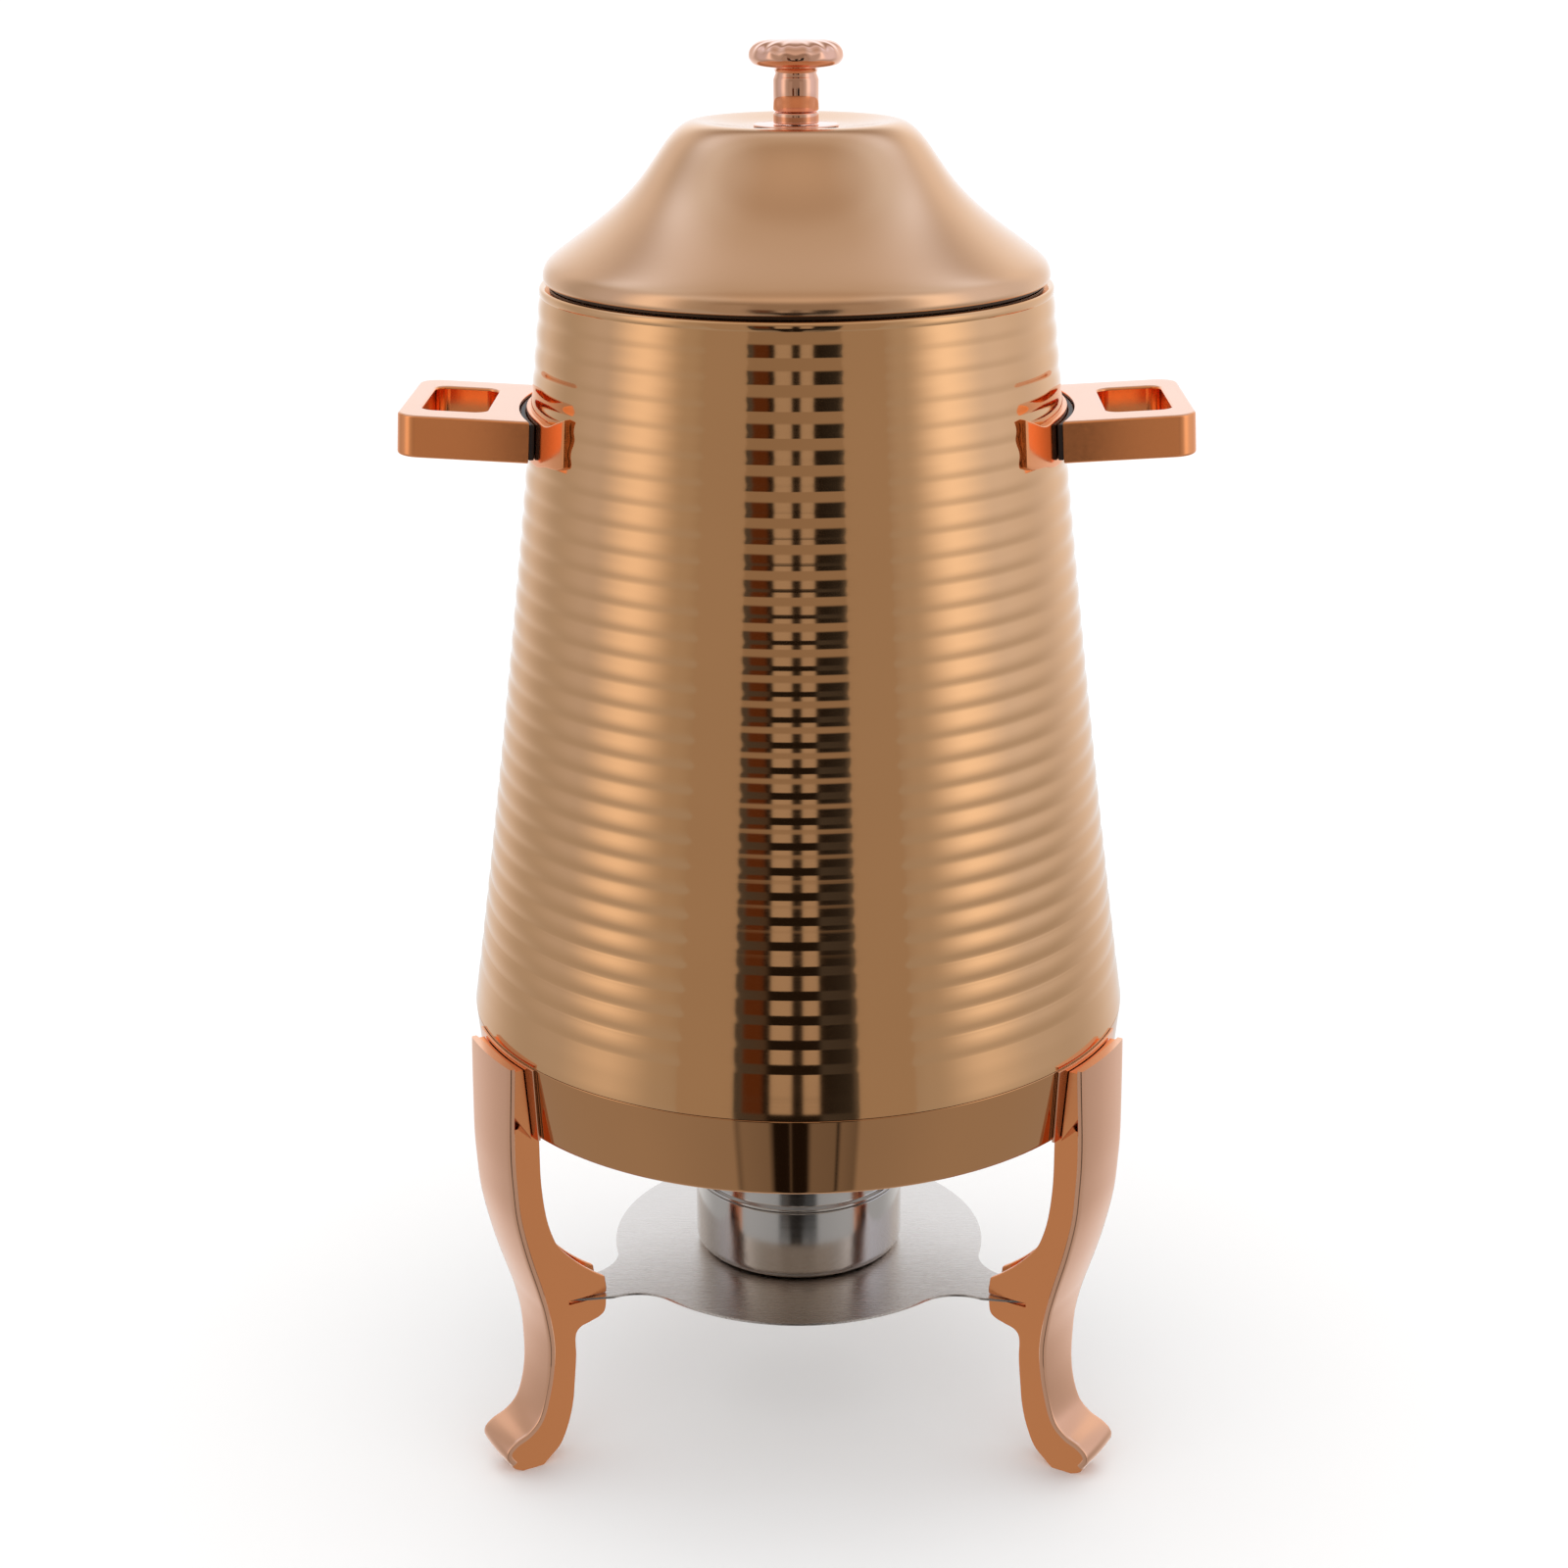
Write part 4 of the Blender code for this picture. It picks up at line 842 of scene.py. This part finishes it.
def maths(nodes, links, operation, a, b=0.0, clamp=False):
    """One sum on numbers or sockets."""
    node = nodes.new("ShaderNodeMath")
    node.operation = operation
    node.use_clamp = clamp
    for socket, value in zip(node.inputs, (a, b)):
        if isinstance(value, (int, float)):
            socket.default_value = value
        else:
            links.new(value, socket)
    return node.outputs["Value"]


def blend(nodes, links, factor, a, b, kind="MIX"):
    """Goes from colour a to colour b as the factor goes from 0 to 1."""
    node = nodes.new("ShaderNodeMix")
    node.data_type = "RGBA"
    node.blend_type = kind
    if isinstance(factor, float):
        node.inputs["Factor"].default_value = factor
    else:
        links.new(factor, node.inputs["Factor"])
    links.new(a, node.inputs["A"])
    links.new(b, node.inputs["B"])
    return node.outputs["Result"]


def bearing(value):
    """Degrees either side of the front, as a place in a ramp."""
    return value / 180


def turn(value):
    """Degrees round from the front, left negative, as a place in a ramp."""
    return 0.5 + value / 360


def level(value):
    """Degrees above the horizon, as a place in a ramp."""
    return 0.5 + value / 180


def only_reflected(item):
    """Marks a stage object that shows in gloss and nowhere else."""
    item.visible_camera = False
    item.visible_diffuse = False
    item.visible_shadow = False
    item.visible_transmission = False


def make_studio_shell():
    """What metal reflects: two soft side panels, a dim gap at the front, a pale back and a soft ceiling."""
    material = bpy.data.materials.new("studio_panels")
    material.use_nodes = True
    nodes, links = material.node_tree.nodes, material.node_tree.links
    nodes.clear()
    place = nodes.new("ShaderNodeTexCoord").outputs["Object"]
    unit = nodes.new("ShaderNodeVectorMath")
    unit.operation = "NORMALIZE"
    links.new(place, unit.inputs[0])
    split = nodes.new("ShaderNodeSeparateXYZ")
    links.new(unit.outputs["Vector"], split.inputs["Vector"])
    x, y, z = split.outputs["X"], split.outputs["Y"], split.outputs["Z"]

    def sums(operation, a, b=0.0, clamp=False):
        return maths(nodes, links, operation, a, b, clamp)

    def shades(factor, stops, interpolation="EASE"):
        return ramp(nodes, links, factor, stops, interpolation)

    azimuth = sums("ARCTAN2", x, sums("MULTIPLY", y, -1.0))
    off_front = sums("ABSOLUTE", azimuth)
    around = sums("DIVIDE", off_front, pi)
    whole_turn = sums("ADD", sums("DIVIDE", azimuth, tau), 0.5)
    height = sums("ADD", sums("DIVIDE", sums("ARCSINE", z), pi), 0.5)
    depth = sums("ADD", sums("MULTIPLY", y, 0.5), 0.5)
    gap = sums("ADD", sums("DIVIDE", azimuth, GAP_SPAN), 0.5, clamp=True)
    in_gap = sums("LESS_THAN", off_front, GAP_EDGE)

    walls = shades(whole_turn, [
        (turn(-165), (1.08, 1.15, 1.22)), (turn(-140), 0.78), (turn(-112), 0.50),
        (turn(-88), (0.58, 0.60, 0.67)), (turn(-66), (1.06, 1.02, 0.99)), (turn(-45), (0.45, 0.42, 0.38)),
        (turn(-32), (0.34, 0.295, 0.245)), (turn(-18), (0.31, 0.265, 0.22)),
        (turn(18), (0.32, 0.275, 0.23)), (turn(32), (0.35, 0.305, 0.265)), (turn(45), (0.47, 0.45, 0.43)),
        (turn(66), (1.14, 1.14, 1.16)), (turn(88), (0.78, 0.84, 0.98)), (turn(112), (0.72, 0.76, 0.85)),
        (turn(140), 0.90), (turn(165), (1.08, 1.15, 1.22))])
    floor_card = shades(around, [(bearing(22), 0.40), (bearing(60), 0.46), (bearing(100), 0.46),
                                 (bearing(150), 0.85)])
    ceiling = shades(depth, [(0.15, (0.70, 0.64, 0.58)), (0.41, (0.50, 0.45, 0.40)),
                             (0.52, (0.58, 0.56, 0.54)), (0.64, (0.70, 0.72, 0.78)),
                             (0.75, (0.40, 0.35, 0.31)), (0.90, (0.31, 0.27, 0.24)), (1.0, 0.50)])
    dark, brown, tan = (0.015, 0.012, 0.010), (0.10, 0.035, 0.012), (0.42, 0.38, 0.34)
    wall_gap = shades(gap, [
        (0.0, 0.41), (0.03, 0.75), (0.05, 0.05), (0.10, 0.08), (0.12, brown), (0.24, brown), (0.27, dark),
        (0.30, dark), (0.32, tan), (0.46, tan), (0.48, dark), (0.54, dark), (0.56, tan), (0.66, tan),
        (0.68, dark), (0.90, 0.03), (0.95, 0.12), (1.0, 0.41)], "LINEAR")
    low_gap = shades(gap, [
        (0.0, 0.41), (0.03, 0.30), (0.06, 0.07), (0.26, (0.075, 0.06, 0.05)), (0.30, dark), (0.66, dark),
        (0.70, 0.06), (0.92, 0.05), (0.96, 0.14), (1.0, 0.41)], "LINEAR")
    floor_gap = shades(gap, [
        (0.0, 0.40), (0.04, 0.20), (0.08, 0.30), (0.28, 0.26), (0.33, dark), (0.44, dark), (0.455, 0.12),
        (0.47, dark), (0.58, dark), (0.62, 0.24), (0.80, 0.22), (0.82, 0.03), (0.85, 0.26), (0.96, 0.20),
        (1.0, 0.40)], "LINEAR")

    gap_top = shades(height, [(level(9), 1.0), (level(15), 0.0)])
    wall = blend(nodes, links, sums("MULTIPLY", in_gap, gap_top), walls, wall_gap)
    near_floor = shades(height, [(level(-29), 0.0), (level(-26), 1.0)])
    gap_ground = blend(nodes, links, near_floor, floor_gap, low_gap)
    ground = blend(nodes, links, in_gap, floor_card, gap_ground)
    above = nodes.new("ShaderNodeMix")
    links.new(in_gap, above.inputs["Factor"])
    links.new(shades(height, [(level(-24), 0.0), (level(9), 1.0)]), above.inputs["A"])
    links.new(shades(height, [(level(-10), 0.0), (level(-8), 1.0)]), above.inputs["B"])
    high = shades(height, [(level(34), 0.0), (level(58), 1.0)])
    sides = shades(sums("ABSOLUTE", x), [(0.20, (1.0, 1.0, 1.0)), (0.62, (1.30, 1.50, 1.80))])
    upper = blend(nodes, links, high, wall, blend(nodes, links, 1.0, ceiling, sides, "MULTIPLY"))
    view = blend(nodes, links, above.outputs["Result"], ground, upper)
    emission = nodes.new("ShaderNodeEmission")
    links.new(view, emission.inputs["Color"])
    output = nodes.new("ShaderNodeOutputMaterial")
    links.new(emission.outputs["Emission"], output.inputs["Surface"])
    material.cycles.emission_sampling = "NONE"

    bm = bmesh.new()
    bmesh.ops.create_uvsphere(bm, u_segments=64, v_segments=32, radius=SHELL_RADIUS)
    mesh = bpy.data.meshes.new("studio_shell")
    bm.to_mesh(mesh)
    bm.free()
    shell = bpy.data.objects.new("studio_shell", mesh)
    shell.location = (0, AXIS_Y, SEAM_Z)
    shell.data.materials.append(material)
    bpy.context.scene.collection.objects.link(shell)
    only_reflected(shell)


def make_cards():
    """Two even cards beside the camera, which the fronts of the handles reflect."""
    material = bpy.data.materials.new("card")
    material.use_nodes = True
    nodes, links = material.node_tree.nodes, material.node_tree.links
    nodes.clear()
    emission = nodes.new("ShaderNodeEmission")
    emission.inputs["Color"].default_value = (0.40, 0.355, 0.31, 1)
    links.new(emission.outputs["Emission"], nodes.new("ShaderNodeOutputMaterial").inputs["Surface"])
    material.cycles.emission_sampling = "NONE"
    for name, side in (("card_left", -1), ("card_right", 1)):
        mesh = bpy.data.meshes.new(name)
        corners = [(CARD_NEAR, 0.0), (CARD_FAR, 0.0), (CARD_FAR, CARD_TOP), (CARD_NEAR, CARD_TOP)]
        mesh.from_pydata([(side * x, AXIS_Y - CARD_DISTANCE, z) for x, z in corners], [], [(0, 1, 2, 3)])
        card = bpy.data.objects.new(name, mesh)
        card.data.materials.append(material)
        bpy.context.scene.collection.objects.link(card)
        only_reflected(card)


def make_floor():
    """A plain pale floor, which metal doesn't reflect."""
    material = bpy.data.materials.new("pale_floor")
    material.use_nodes = True
    shader = material.node_tree.nodes["Principled BSDF"]
    shader.inputs["Base Color"].default_value = (0.93, 0.93, 0.93, 1)
    shader.inputs["Roughness"].default_value = 0.9
    shader.inputs["Specular IOR Level"].default_value = 0.0
    bpy.ops.mesh.primitive_circle_add(vertices=64, radius=40, fill_type="NGON", location=(0, 0, 0))
    floor = bpy.context.object
    floor.name = "floor"
    floor.data.materials.append(material)
    floor.visible_glossy = False


def make_light():
    """Even white light for the floor and the rubber."""
    world = bpy.data.worlds.new("studio")
    world.use_nodes = True
    background = world.node_tree.nodes["Background"]
    background.inputs["Color"].default_value = (1, 1, 1, 1)
    background.inputs["Strength"].default_value = 1.20
    world.cycles_visibility.glossy = False
    bpy.context.scene.world = world
    bpy.context.scene.view_settings.view_transform = "Standard"


make_camera()
make_studio_shell()
make_cards()
make_floor()
make_light()
